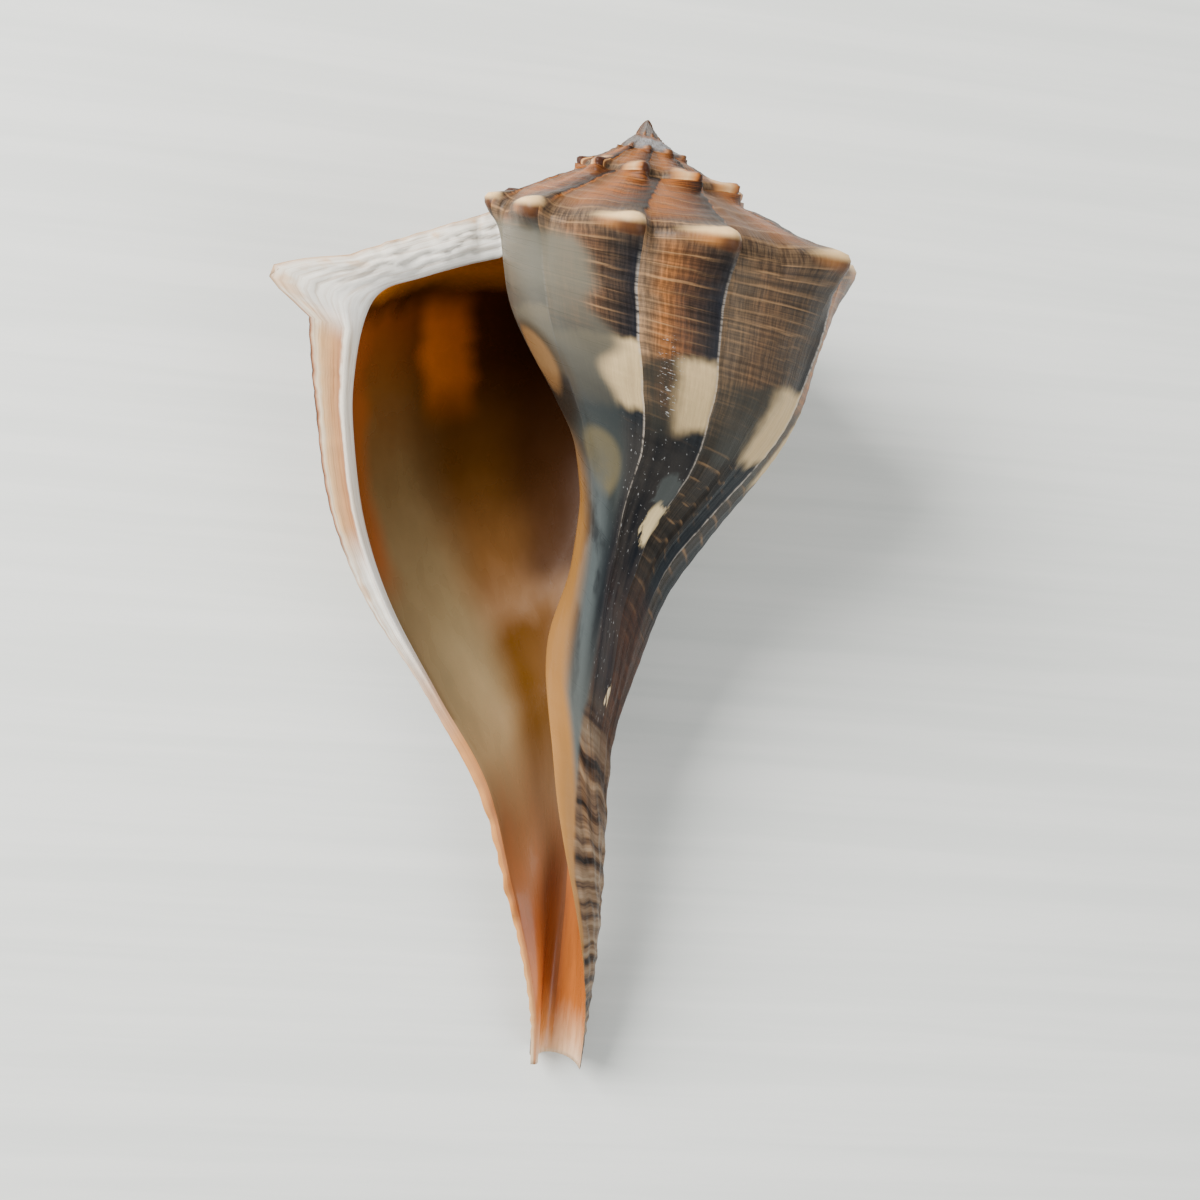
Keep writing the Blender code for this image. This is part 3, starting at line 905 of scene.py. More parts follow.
@dataclass
class LipBand:
    """The broad edge of the lip, between the growing edge and the cavity."""

    form: ShellForm
    rows: Points
    ramp_rows: int
    steps: int
    bulge: float = 0.9 * MM
    lamella_height: float = 0.55 * MM
    ridge_height: float = 0.75 * MM
    ridge_place: Span = (0.80, 0.13)
    groove_place: Span = (0.45, 0.2)
    groove_share: float = 0.35
    layers: float = 4.0

    def build(self, body: Points, inner: Points) -> Patch:
        """Makes the band.

        Args:
            body: Points of the body whorl, whose first column is the growing edge.
            inner: Points of the cavity's outer side, whose first column is the inner edge.

        Returns:
            The band's grid.
        """
        part = np.linspace(0, 1, self.steps + 1)[:, None]
        knot = self.rows[None, :] + 0 * part
        band = body[0] * (1 - part[..., None]) + inner[0] * part[..., None]
        within = np.sin(np.pi * part)
        layers = np.modf(self.layers * part + 0.45 * ripple(knot / 0.9, part, 8.0) + 8.0)[0]
        ramp = smooth_step((4.4 - knot) / 0.8)
        side = smooth_step((knot - 3.2) / 0.8) * smooth_step((9.4 - knot) / 1.5)
        (ridge_at, ridge_wide), (groove_at, groove_wide) = self.ridge_place, self.groove_place
        groove = bell((part - groove_at) / groove_wide)
        ridge = bell((part - ridge_at) / ridge_wide) - self.groove_share * groove
        rise = self.bulge * within**0.7 * (0.9 * ramp + 0.35 * side + 0.2) + self.ridge_height * ridge * side
        rise = rise * smooth_step((14.0 - knot) / 2.5)
        rise = rise + self.lamella_height * (layers - 0.5) * within * ramp
        rise = rise + 0.25 * MM * ripple(knot / 0.45, part / 1.5, 9.0) * within * (ramp + 0.3 * side)
        band[..., 2] += rise
        band[:, 0] = body[-1, self.ramp_rows : self.ramp_rows + self.steps + 1]
        turn = self.form.lip_turn + 0 * knot
        masks = np.zeros((*knot.shape, MASKS))
        masks[..., 0] = part
        return Patch(Region.LIP, band, turn, knot, masks)


@dataclass(frozen=True)
class Value:
    """A number in a node tree, on which plain arithmetic adds Math nodes."""

    nodes: "Nodes"
    socket: bpy.types.NodeSocket

    def __add__(self, other: Any) -> "Value":
        """Sum."""
        return self.nodes.math("ADD", self, other)

    def __sub__(self, other: Any) -> "Value":
        """Difference."""
        return self.nodes.math("SUBTRACT", self, other)

    def __rsub__(self, other: float) -> "Value":
        """Difference from a plain number."""
        return self.nodes.math("SUBTRACT", other, self)

    def __mul__(self, other: Any) -> "Value":
        """Product."""
        return self.nodes.math("MULTIPLY", self, other)

    def __truediv__(self, other: Any) -> "Value":
        """Quotient."""
        return self.nodes.math("DIVIDE", self, other)

    def step(self, start: float, end: float) -> "Value":
        """0 at start and 1 at end, eased between them."""
        values = {"Value": self, 1: start, 2: end, 3: 0.0, 4: 1.0}
        return self.nodes.value("ShaderNodeMapRange", values, interpolation_type="SMOOTHSTEP")

    def window(self, low: float, high: float, soft: float) -> "Value":
        """1 between low and high, falling to 0 over soft beyond each end."""
        return self.step(low - soft, low) * self.step(high + soft, high)

    def ramp(self, stops: Stops) -> bpy.types.NodeSocket:
        """A colour for each value, from (place, colour) or (place, grey) stops.

        Args:
            stops: Places from 0 to 1, each with a colour or a grey.

        Returns:
            The colour.
        """
        node = self.nodes.add("ShaderNodeValToRGB", {0: self})
        elements = node.color_ramp.elements
        elements[0].position = stops[0][0]
        elements[1].position = stops[-1][0]
        for place, _ in stops[1:-1]:
            elements.new(place)
        for element, (_, colour) in zip(elements, stops):
            element.color = (*(colour if isinstance(colour, tuple) else (colour,) * 3), 1.0)
        return node.outputs["Color"]


@dataclass(frozen=True)
class Nodes:
    """Short ways to add nodes to a node tree and join them."""

    tree: bpy.types.NodeTree

    def put(self, target: bpy.types.NodeSocket, value: Any) -> None:
        """Links a value to an input, or sets the input to a plain number or colour.

        Args:
            target: The input.
            value: A value, a socket, a number, a vector or a colour without alpha.
        """
        value = value.socket if isinstance(value, Value) else value
        if isinstance(value, bpy.types.NodeSocket):
            self.tree.links.new(value, target)
        else:
            target.default_value = (*value, 1.0) if target.type == "RGBA" else value

    def add(self, kind: str, inputs: dict[Any, Any] | None = None, **settings: Any) -> bpy.types.Node:
        """Adds a node.

        Args:
            kind: Blender's name for the kind of node.
            inputs: What goes into its inputs, by name or number.
            **settings: Attributes of the node.

        Returns:
            The new node.
        """
        node = self.tree.nodes.new(kind)
        for name, value in settings.items():
            setattr(node, name, value)
        for name, value in (inputs or {}).items():
            self.put(node.inputs[name], value)
        return node

    def value(self, kind: str, inputs: dict[Any, Any], **settings: Any) -> Value:
        """The first output of a new node."""
        return Value(self, self.add(kind, inputs, **settings).outputs[0])

    def math(self, operation: str, a: Any, b: Any = 0.0, clamp: bool = False) -> Value:
        """One Math node."""
        return self.value("ShaderNodeMath", {0: a, 1: b}, operation=operation, use_clamp=clamp)

    def noise(self, place: Any, detail: float = 3.0, roughness: float = 0.55) -> Value:
        """Noise from 0 to 1 at a vector, or at a pair of values.

        Args:
            place: A vector, or a pair of values.
            detail: How many finer noises are added.
            roughness: How strong the finer ones are.

        Returns:
            The noise.
        """
        if isinstance(place, tuple):
            place = self.value("ShaderNodeCombineXYZ", dict(enumerate(place)))
        values = {"Vector": place, "Scale": 1.0, "Detail": detail, "Roughness": roughness}
        return self.value("ShaderNodeTexNoise", values)

    def mix(self, factor: Any, a: Any, b: Any, blend: str = "MIX") -> bpy.types.NodeSocket:
        """A mix of two colours."""
        colours = {0: factor, 6: a, 7: b}
        return self.add("ShaderNodeMix", colours, data_type="RGBA", blend_type=blend).outputs[2]

    def split(self, name: str) -> list[Value]:
        """The two parts of one of the piece's own UV maps.

        Args:
            name: The map's name.

        Returns:
            Both parts.
        """
        uv = self.add("ShaderNodeUVMap", None, uv_map=name)
        parts = self.add("ShaderNodeSeparateXYZ", {0: uv.outputs[0]})
        return [Value(self, part) for part in parts.outputs[:2]]

    def masks(self) -> list[Value]:
        """The four masks stored with the surface.

        Returns:
            Four values from 0 to 1.
        """
        read = self.add("ShaderNodeAttribute", None, attribute_name="masks")
        parts = self.add("ShaderNodeSeparateColor", {0: read.outputs["Color"]})
        return [Value(self, part) for part in (*parts.outputs[:3], read.outputs["Alpha"])]


@dataclass(frozen=True)
class Effect:
    """A node group that more than one finish uses."""

    name: str
    takes: tuple[str, ...]
    gives: tuple[str, ...]

    def work_out(self, nodes: Nodes, given: list[Value]) -> list[Value]:
        """What the group gives, from what it takes."""
        raise NotImplementedError(self.name)

    def group(self) -> bpy.types.NodeTree:
        """Builds the group once.

        Returns:
            The group's node tree.
        """
        if self.name in bpy.data.node_groups:
            return bpy.data.node_groups[self.name]
        tree = bpy.data.node_groups.new(self.name, "ShaderNodeTree")
        for side, names in (("INPUT", self.takes), ("OUTPUT", self.gives)):
            for name in names:
                tree.interface.new_socket(name, in_out=side, socket_type="NodeSocketFloat")
        nodes = Nodes(tree)
        given = [Value(nodes, socket) for socket in nodes.add("NodeGroupInput").outputs[: len(self.takes)]]
        nodes.add("NodeGroupOutput", dict(enumerate(self.work_out(nodes, given))))
        return tree

    def place(self, nodes: Nodes, *values: Any) -> list[Value]:
        """Puts the group into a material and gives its outputs."""
        node = nodes.add("ShaderNodeGroup", dict(enumerate(values)), node_tree=self.group())
        return [Value(nodes, socket) for socket in node.outputs]


@dataclass(frozen=True)
class GrowthLines(Effect):
    """Fine growth lines across the coil, thin spiral lines along it and slow mottling, each from 0 to 1."""

    name: str = "growth_lines"
    takes: tuple[str, ...] = ("Turn", "Knot", "Fineness")
    gives: tuple[str, ...] = ("Lines", "Spirals", "Mottle")
    lines_per_turn: float = 330.0

    def work_out(self, nodes: Nodes, given: list[Value]) -> list[Value]:
        """Three noises, each stretched its own way.

        Args:
            nodes: The group's nodes.
            given: The turn in whole turns, the knot, and how close together the growth lines are.

        Returns:
            Growth lines, spiral lines and mottling.
        """
        turn, knot, fineness = given
        wander = nodes.noise((turn * 9.0, knot), 2.0)
        dense = (turn + wander * 0.004) * (fineness * self.lines_per_turn)
        lines = nodes.noise((dense, knot * 1.3), 4.0, 0.65)
        spirals = nodes.noise((turn * 6.0, knot * 15.0), 3.0, 0.6)
        return [lines, spirals, nodes.noise((turn * 26.0, knot))]


@dataclass(frozen=True)
class SoftSpot(Effect):
    """A soft oval, 1 inside and 0 outside, by turn angle in degrees and knot."""

    name: str = "soft_spot"
    takes: tuple[str, ...] = ("Turn", "Knot", "Centre Turn", "Centre Knot", "Half Turn", "Half Knot")
    gives: tuple[str, ...] = ("Spot",)
    outside: float = 1.15
    inside: float = 0.75

    def work_out(self, nodes: Nodes, given: list[Value]) -> list[Value]:
        """The distance from the middle in half sizes, turned into a mask.

        Args:
            nodes: The group's nodes.
            given: The place, the middle and the half size, each as turn and knot.

        Returns:
            The mask.
        """
        turn, knot, middle_turn, middle_knot, half_turn, half_knot = given
        across = (turn - middle_turn) / half_turn
        down = (knot - middle_knot) / half_knot
        return [nodes.math("SQRT", across * across + down * down).step(self.outside, self.inside)]


@dataclass(frozen=True)
class Mark:
    """A soft oval mark: its middle and half size in degrees and knots, its colour and strength."""

    middle: Span
    half: Span
    tint: Colour
    strength: float = 1.0

    def mask(self, nodes: Nodes, degrees: Value, knot: Value) -> Value:
        """Where the mark is."""
        return SoftSpot().place(nodes, degrees, knot, *self.middle, *self.half)[0]

    def over(self, nodes: Nodes, colour: Any, degrees: Value, knot: Value) -> bpy.types.NodeSocket:
        """A colour with the mark laid over it."""
        return nodes.mix(self.mask(nodes, degrees, knot) * self.strength, colour, self.tint)


@dataclass(frozen=True)
class Finish:
    """What every shell finish shares."""

    name: str
    coat: float = 0.07
    coat_roughness: float = 0.12
    specular: float = 0.25
    bump: float = 0.3
    bump_distance: float = 0.3 * MM

    def start(self) -> tuple[bpy.types.Material, Nodes, bpy.types.Node]:
        """An empty material, its nodes and its surface shader.

        Returns:
            The three of them.
        """
        material = bpy.data.materials.new(self.name)
        material.use_nodes = True
        shader = material.node_tree.nodes["Principled BSDF"]
        shader.inputs["Coat Weight"].default_value = self.coat
        shader.inputs["Coat Roughness"].default_value = self.coat_roughness
        shader.inputs["Specular IOR Level"].default_value = self.specular
        shader.inputs["Metallic"].default_value = 0.0
        return material, Nodes(material.node_tree), shader

    def close(self, nodes: Nodes, shader: bpy.types.Node, colour: Any, rough: Value, height: Value) -> None:
        """Joins colour, roughness and a bump height to the shader.

        Args:
            nodes: The material's nodes.
            shader: The surface shader.
            colour: The colour.
            rough: The roughness.
            height: The bump's height, from 0 to about 1.
        """
        heights = {"Height": height, "Strength": self.bump, "Distance": self.bump_distance}
        bump = nodes.add("ShaderNodeBump", heights)
        nodes.put(shader.inputs["Base Color"], colour)
        nodes.put(shader.inputs["Roughness"], rough)
        nodes.put(shader.inputs["Normal"], bump.outputs[0])


@dataclass(frozen=True)
class OutsideFinish(Finish):
    """Streaks from orange-brown to blue-black, cream patches, tan cords, pale knobs and the glaze."""

    name: str = "shell_outside"
    coat: float = 0.04
    specular: float = 0.18
    streak: Stops = (
        (0.0, (0.007, 0.009, 0.016)), (0.14, (0.010, 0.009, 0.012)), (0.32, (0.036, 0.018, 0.012)),
        (0.50, (0.120, 0.048, 0.020)), (0.70, (0.280, 0.105, 0.030)), (0.86, (0.170, 0.100, 0.056)),
        (1.0, (0.380, 0.240, 0.140)),
    )
    plain_streak: Stops = (
        (0.0, (0.010, 0.009, 0.010)), (0.2, (0.048, 0.032, 0.021)), (1.0, (0.125, 0.086, 0.053)),
    )
    lower_streak: Stops = (
        (0.0, (0.006, 0.010, 0.016)), (0.30, (0.012, 0.016, 0.020)), (0.55, (0.016, 0.013, 0.011)),
        (1.0, (0.030, 0.022, 0.015)),
    )
    weave: Stops = ((0.36, (0.42, 0.39, 0.36)), (0.48, 0.85), (0.62, (2.1, 1.9, 1.6)))
    lower_knots: Span = (7.5, 8.1)
    neck_knots: Span = (9.2, 9.9)
    neck: Colour = (0.050, 0.022, 0.014)
    patch_knots: tuple[float, float, float] = (6.66, 7.70, 0.22)
    patch_slant: float = -0.45
    cream: Colour = (0.56, 0.40, 0.21)
    pale_cream: Colour = (0.66, 0.48, 0.25)
    grey: Colour = (0.034, 0.034, 0.028)
    tan: Colour = (0.42, 0.24, 0.11)
    ramp_streak: Stops = (
        (0.0, (0.014, 0.008, 0.006)), (0.16, (0.040, 0.016, 0.008)), (0.34, (0.120, 0.036, 0.008)),
        (0.70, (0.300, 0.092, 0.014)), (1.0, (0.120, 0.048, 0.014)),
    )
    ramp_foot: Span = (2.4, 3.7)
    foot_tones: tuple[Colour, Colour] = ((0.050, 0.031, 0.020), (0.155, 0.095, 0.052))
    thread: Stops = ((0.32, (0.50, 0.46, 0.42)), (0.50, 1.0), (0.66, (1.35, 1.28, 1.18)))
    young_whorl: Stops = (
        (0.0, (0.340, 0.150, 0.070)), (0.22, (0.300, 0.110, 0.045)), (0.34, (0.400, 0.410, 0.430)),
        (0.80, (0.260, 0.265, 0.280)), (0.92, (0.120, 0.090, 0.080)), (1.0, (0.240, 0.100, 0.040)),
    )
    young_line: Colour = (0.16, 0.14, 0.135)
    young_turns: Span = (2.72, 2.92)
    nub_tones: tuple[Colour, Colour] = ((0.080, 0.066, 0.058), (0.185, 0.162, 0.148))
    nub_seam: Colour = (0.10, 0.036, 0.014)
    nub_turns: Span = (3.25, 3.35)
    tip: Colour = (0.10, 0.045, 0.025)
    tip_turns: Span = (4.25, 4.45)
    pillar_bands: Stops = (
        (0.36, (0.014, 0.008, 0.005)), (0.44, (0.080, 0.042, 0.022)), (0.54, (0.200, 0.120, 0.065)),
        (0.68, (0.340, 0.240, 0.150)),
    )
    pillar_knots: Span = (10.2, 10.9)
    glaze_tones: Stops = (
        (0.30, (0.150, 0.138, 0.105)), (0.42, (0.140, 0.130, 0.100)), (0.47, (0.085, 0.080, 0.064)),
        (0.52, (0.058, 0.062, 0.056)), (0.57, (0.022, 0.029, 0.031)), (0.62, (0.038, 0.044, 0.041)),
        (0.68, (0.014, 0.017, 0.020)), (0.73, (0.009, 0.010, 0.012)),
    )
    glaze_cover: Stops = ((0.30, 0.92), (0.45, 0.88), (0.50, 0.93), (0.62, 0.95))
    glaze_low_knots: Span = (8.3, 9.3)
    cloud: Colour = (0.070, 0.083, 0.084)
    cloud_turns: Span = (1.262, 1.318)
    peach: Colour = (0.27, 0.125, 0.032)
    peach_turns: Span = (1.330, 1.425)
    rim_tones: tuple[Colour, Colour] = ((0.10, 0.11, 0.105), (0.37, 0.175, 0.050))
    rim_turns: Span = (1.345, 1.415)
    rim_knots: Span = (9.8, 10.8)
    ochre: Mark = Mark((473.0, 8.70), (15.0, 0.34), (0.18, 0.14, 0.062), 0.62)
    shadow: Mark = Mark((500.0, 7.85), (19.0, 0.78), (0.020, 0.014, 0.010), 0.9)
    amber: Mark = Mark((503.0, 7.75), (14.0, 0.50), (0.200, 0.100, 0.038), 0.95)
    small_marks: tuple[Mark, ...] = (
        Mark((427.0, 8.62), (6.5, 0.18), (0.060, 0.066, 0.064)),
        Mark((425.0, 8.95), (6.0, 0.22), (0.62, 0.48, 0.26)),
        Mark((421.0, 10.28), (4.0, 0.06), (0.68, 0.52, 0.32)),
    )
    scratches: Mark = Mark((438.5, 7.1), (4.0, 0.8), (0.66, 0.66, 0.66), 0.8)
    cord_strength: Stops = (
        (0.05, 0.36), (0.28, 0.68), (0.44, 0.60), (0.49, 0.10), (0.55, 0.15), (0.60, 0.60), (0.66, 0.35),
        (0.71, 0.0),
    )
    slate_tones: tuple[Colour, Colour] = ((0.005, 0.006, 0.009), (0.030, 0.026, 0.024))
    slate_speck: Colour = (0.30, 0.30, 0.30)
    slate_knots: Span = (7.8, 8.3)
    slate_turns: tuple[Span, Span] = ((1.166, 1.176), (1.52, 1.50))
    # A painted highlight on the raised young edge of each growth step.
    step_edge_highlight: Colour = (0.62, 0.53, 0.45)
    # Dark under each knob: partly the shell's dark streak, partly painted shade under the crest.
    knob_streak_and_shade: Colour = (0.045, 0.016, 0.008)
    crest_orange: Colour = (0.58, 0.22, 0.05)
    crest_cream: Colour = (0.92, 0.60, 0.28)
    spire_knob: Stops = (
        (0.0, (0.050, 0.014, 0.006)), (0.09, (0.060, 0.018, 0.007)), (0.15, (0.460, 0.160, 0.035)),
        (0.28, (0.700, 0.420, 0.190)), (0.45, (0.560, 0.260, 0.090)), (0.60, (0.160, 0.070, 0.030)),
    )

    def body(self, nodes: Nodes, segment: tuple[Value, Value, Value], knot: Value, fine: list[Value]) -> Any:
        """Colour of the body whorl before its cords.

        Args:
            nodes: The material's nodes.
            segment: 0 at the young edge of a growth segment and 1 at the old edge, how plain the segment
                is, and how much of its width the cream patch takes.
            knot: Place along the profile.
            fine: Fine growth lines, thin spiral lines and slow mottling.

        Returns:
            A colour socket.
        """
        phase, plainness, width = segment
        lines, spirals, mottle = fine
        shifted = nodes.math("ADD", phase, (mottle - 0.5) * 0.36, clamp=True)
        colour = nodes.mix(plainness, shifted.ramp(self.streak), shifted.ramp(self.plain_streak))
        colour = nodes.mix(knot.step(*self.lower_knots), colour, shifted.ramp(self.lower_streak))
        colour = nodes.mix(knot.step(*self.neck_knots), colour, self.neck)
        woven = lines * 0.5 + spirals * 0.5
        colour = nodes.mix(0.85, colour, woven.ramp(self.weave), "MULTIPLY")
        level = knot + (mottle - 0.5) * 0.5 + phase * self.patch_slant
        middle = level.window(*self.patch_knots)
        from_edge = shifted - width
        colour = nodes.mix(middle * from_edge.step(0.85, 0.30) * 0.86, colour, self.grey)
        creamy = nodes.mix(lines.step(0.30, 0.70), self.cream, self.pale_cream)
        return nodes.mix(middle * from_edge.step(0.18, -0.14), colour, creamy)

    def spire(self, nodes: Nodes, age: Value, knot: Value, turn: Value, fine: list[Value]) -> Any:
        """Colour of the ramp.

        Args:
            nodes: The material's nodes.
            age: 0 at a growth step, rising to 1 behind it.
            knot: Place along the profile.
            turn: Turn angle in whole turns.
            fine: Fine growth lines, thin spiral lines and slow mottling.

        Returns:
            A colour socket: orange-brown near the suture, grey-brown above the shoulder, grey at the tip.
        """
        lines, spirals, _ = fine
        warm = (age + (spirals - 0.5) * 0.9).ramp(self.ramp_streak)
        dull = nodes.mix(lines.step(0.35, 0.65), *self.foot_tones)
        colour = nodes.mix(knot.step(*self.ramp_foot), warm, dull)
        colour = nodes.mix(0.8, colour, spirals.ramp(self.thread), "MULTIPLY")
        young = nodes.mix(lines.step(0.62, 0.40), (knot / FOOT_KNOT).ramp(self.young_whorl), self.young_line)
        colour = nodes.mix(turn.step(*self.young_turns), colour, young)
        nub = nodes.mix(lines.step(0.35, 0.65), *self.nub_tones)
        nub = nodes.mix(knot.step(0.75, 0.35), nub, self.nub_seam)
        colour = nodes.mix(turn.step(*self.nub_turns) * 0.8, colour, nub)
        return nodes.mix(turn.step(*self.tip_turns), colour, self.tip)

    def pillar(self, nodes: Nodes, turn: Value, knot: Value) -> bpy.types.NodeSocket:
        """Colour of the lower pillar: grey-brown with dark wavy growth lines across it."""
        across = knot * 9.0 + nodes.noise((turn * 7.0, knot), 2.0) * 1.3
        return nodes.noise((turn * 1.2, across), 4.0, 0.6).ramp(self.pillar_bands)

    def film(self, nodes: Nodes, turn: Value, knot: Value) -> bpy.types.NodeSocket:
        """Colour of the glaze: grey-white at the top, blue-grey below, peach along the columella.

        Args:
            nodes: The material's nodes.
            turn: Turn angle in whole turns.
            knot: Place along the profile.

        Returns:
            A colour socket.
        """
        patchy = nodes.noise((turn * 14.0, knot * 2.2), 4.0)
        degrees = turn * FULL_TURN
        film = ((knot + (patchy - 0.5) * 0.9) / LAST_KNOT).ramp(self.glaze_tones)
        film = self.ochre.over(nodes, film, degrees, knot)
        below = knot.step(*self.glaze_low_knots)
        cloudy = below * patchy.step(0.36, 0.58)
        film = nodes.mix(cloudy * turn.step(*self.cloud_turns), film, self.cloud)
        film = nodes.mix(below * turn.step(*self.peach_turns), film, self.peach)
        film = self.shadow.over(nodes, film, degrees, knot)
        film = self.amber.over(nodes, film, degrees, knot)
        rim = nodes.mix(turn.step(*self.rim_turns), *self.rim_tones)
        return nodes.mix(knot.step(*self.rim_knots), film, rim)

    def marks(self, nodes: Nodes, colour: Any, turn: Value, knot: Value) -> bpy.types.NodeSocket:
        """The marks of this one shell: a grey drip, a cream patch and dot, and white scratches.

        Args:
            nodes: The material's nodes.
            colour: The colour that they lie on.
            turn: Turn angle in whole turns.
            knot: Place along the profile.

        Returns:
            The colour with its marks.
        """
        jitter = nodes.noise((turn * 90.0, knot * 6.0)) - 0.5
        degrees = turn * FULL_TURN + jitter * 9.0
        height = knot + jitter * 0.25
        for mark in self.small_marks:
            colour = mark.over(nodes, colour, degrees, height)
        hatch = nodes.noise((turn * 120.0, knot * 30.0), 3.0, 0.7).step(0.60, 0.66)
        torn = self.scratches.mask(nodes, degrees, height) * hatch
        return nodes.mix(torn * self.scratches.strength, colour, self.scratches.tint)

    def slate(self, nodes: Nodes, turn: Value, knot: Value, mottle: Value) -> bpy.types.NodeSocket:
        """Colour of the dark polished base, with fine pale specks."""
        speck = nodes.noise((turn * 260.0, knot * 18.0), 2.0).step(0.66, 0.72)
        return nodes.mix(speck, nodes.mix(mottle.step(0.35, 0.65), *self.slate_tones), self.slate_speck)

    def knobs(self, nodes: Nodes, colour: Any, place: tuple[Value, ...], masks: list[Value]) -> Any:
        """Orange and cream on the knobs, with the dark streak below each, partly painted shade under the
        crest.

        Args:
            nodes: The material's nodes.
            colour: The colour that they lie on.
            place: Turn angle in whole turns, phase in the growth segment and age behind the growth step.
            masks: The surface's masks.

        Returns:
            The colour with its knobs.
        """
        turn, phase, age = place
        _, crest, _, warm = masks
        colour = nodes.mix(warm.step(0.35, 0.95) * 0.75, colour, self.crest_orange)
        # The dark under the crest on the young side is partly the shell's dark streak and partly painted
        # shade under the knob.
        under = warm.step(0.35, 0.60) * (phase.step(0.30, 0.12) * 0.85)
        colour = nodes.mix(under, colour, self.knob_streak_and_shade)
        colour = nodes.mix(crest.step(0.30, 0.85) * turn.step(2.75, 2.45), colour, self.crest_cream)
        raised = nodes.math("MAXIMUM", crest, warm).step(0.16, 0.34)
        raised = turn.step(1.49, 1.52) * turn.step(2.95, 2.80) * raised
        return nodes.mix(raised, colour, age.ramp(self.spire_knob))

    def material(self) -> bpy.types.Material:
        """Builds the material.

        Returns:
            The material.
        """
        material, nodes, shader = self.start()
        turn, knot = nodes.split("growth")
        phase, plainness = nodes.split("segment")
        age, width = nodes.split("age")
        masks = nodes.masks()
        glaze, _, cord, _ = masks
        fine = GrowthLines().place(nodes, turn, knot, 1.0)
        lines, spirals, mottle = fine
        colour = self.body(nodes, (phase, plainness, width), knot, fine)
        colour = nodes.mix(knot.step(4.5, 3.7), colour, self.spire(nodes, age, knot, turn, fine))
        polished = knot.step(*self.slate_knots)
        for span in self.slate_turns:
            polished = polished * turn.step(*span)
        colour = nodes.mix(polished * 0.85, colour, self.slate(nodes, turn, knot, mottle))
        thin = cord.step(0.70, 0.99) * spirals.step(0.36, 0.60) * phase.step(0.04, 0.45) * (1.0 - polished)
        colour = nodes.mix(thin * (knot / LAST_KNOT).ramp(self.cord_strength), colour, self.tan)
        colour = nodes.mix(knot.step(*self.pillar_knots), colour, self.pillar(nodes, turn, knot))
        # Painted highlight: a pale line along the raised young edge of each growth step.
        edge = phase.step(0.035, 0.008) * spirals.step(0.30, 0.60) * knot.step(9.6, 8.4) * knot.step(4.0, 5.4)
        colour = nodes.mix(edge * 0.65, colour, self.step_edge_highlight)
        colour = self.knobs(nodes, colour, (turn, phase, age), masks)
        colour = self.marks(nodes, colour, turn, knot)
        cover = (knot / LAST_KNOT).ramp(self.glaze_cover)
        colour = nodes.mix(glaze * cover, colour, self.film(nodes, turn, knot))
        smooth = nodes.math("MAXIMUM", glaze, polished * 0.6)
        rough = spirals * 0.3 + 0.30 - smooth * 0.14
        self.close(nodes, shader, colour, rough, (lines + spirals * 0.35) * (1.0 - smooth))
        return material


@dataclass(frozen=True)
class LipFinish(Finish):
    """White, layered lip with tan growth bands, turning orange towards the canal."""

    name: str = "shell_lip"
    bevel: Stops = (
        (0.0, (0.110, 0.045, 0.030)), (0.05, (0.500, 0.230, 0.120)), (0.13, (0.960, 0.780, 0.540)),
        (0.24, (0.920, 0.560, 0.270)), (0.46, (0.720, 0.370, 0.160)), (0.66, (0.500, 0.240, 0.115)),
        (0.73, (0.950, 0.860, 0.720)), (1.0, (1.0, 0.93, 0.82)),
    )
    bevel_knots: tuple[Span, Span] = ((3.9, 4.7), (7.7, 7.0))
    white: Stops = ((0.0, (0.62, 0.40, 0.24)), (0.10, (0.95, 0.88, 0.76)), (1.0, (1.0, 0.98, 0.93)))
    tint: Colour = (0.78, 0.46, 0.22)
    lower: Stops = (
        (0.61, (0.820, 0.640, 0.500)), (0.68, (0.760, 0.350, 0.125)), (0.80, (0.820, 0.340, 0.085)),
        (0.93, (0.840, 0.460, 0.190)), (1.0, (0.900, 0.700, 0.480)),
    )
    lower_knots: Span = (8.2, 9.0)
    shadow: Colour = (0.52, 0.20, 0.07)
    layers: Stops = ((0.3, (0.66, 0.56, 0.48)), (0.52, 1.0), (0.7, (1.06, 1.05, 1.04)))

    def material(self) -> bpy.types.Material:
        """Builds the material.

        Returns:
            The material.
        """
        material, nodes, shader = self.start()
        _, knot = nodes.split("growth")
        across = nodes.masks()[0]
        fine = nodes.noise((across * 20.0, knot * 0.8), 4.0, 0.6)
        soft = nodes.noise((across * 2.0, knot * 2.0))
        place = across + (soft - 0.5) * 0.2
        tint = soft.step(0.50, 0.66) * across.step(0.55, 0.15)
        white = nodes.mix(tint * 0.7, place.ramp(self.white), self.tint)
        banded = knot.step(*self.bevel_knots[0]) * knot.step(*self.bevel_knots[1])
        colour = nodes.mix(banded, white, place.ramp(self.bevel))
        colour = nodes.mix(knot.step(*self.lower_knots), colour, (knot / LAST_KNOT).ramp(self.lower))
        shaded = knot.step(9.2, 10.4) * across.step(0.30, 0.75)
        colour = nodes.mix(shaded * 0.85, colour, self.shadow)
        colour = nodes.mix(0.85, colour, fine.ramp(self.layers), "MULTIPLY")
        self.close(nodes, shader, colour, fine * 0.25 + 0.2, fine + soft * 0.6)
        return material


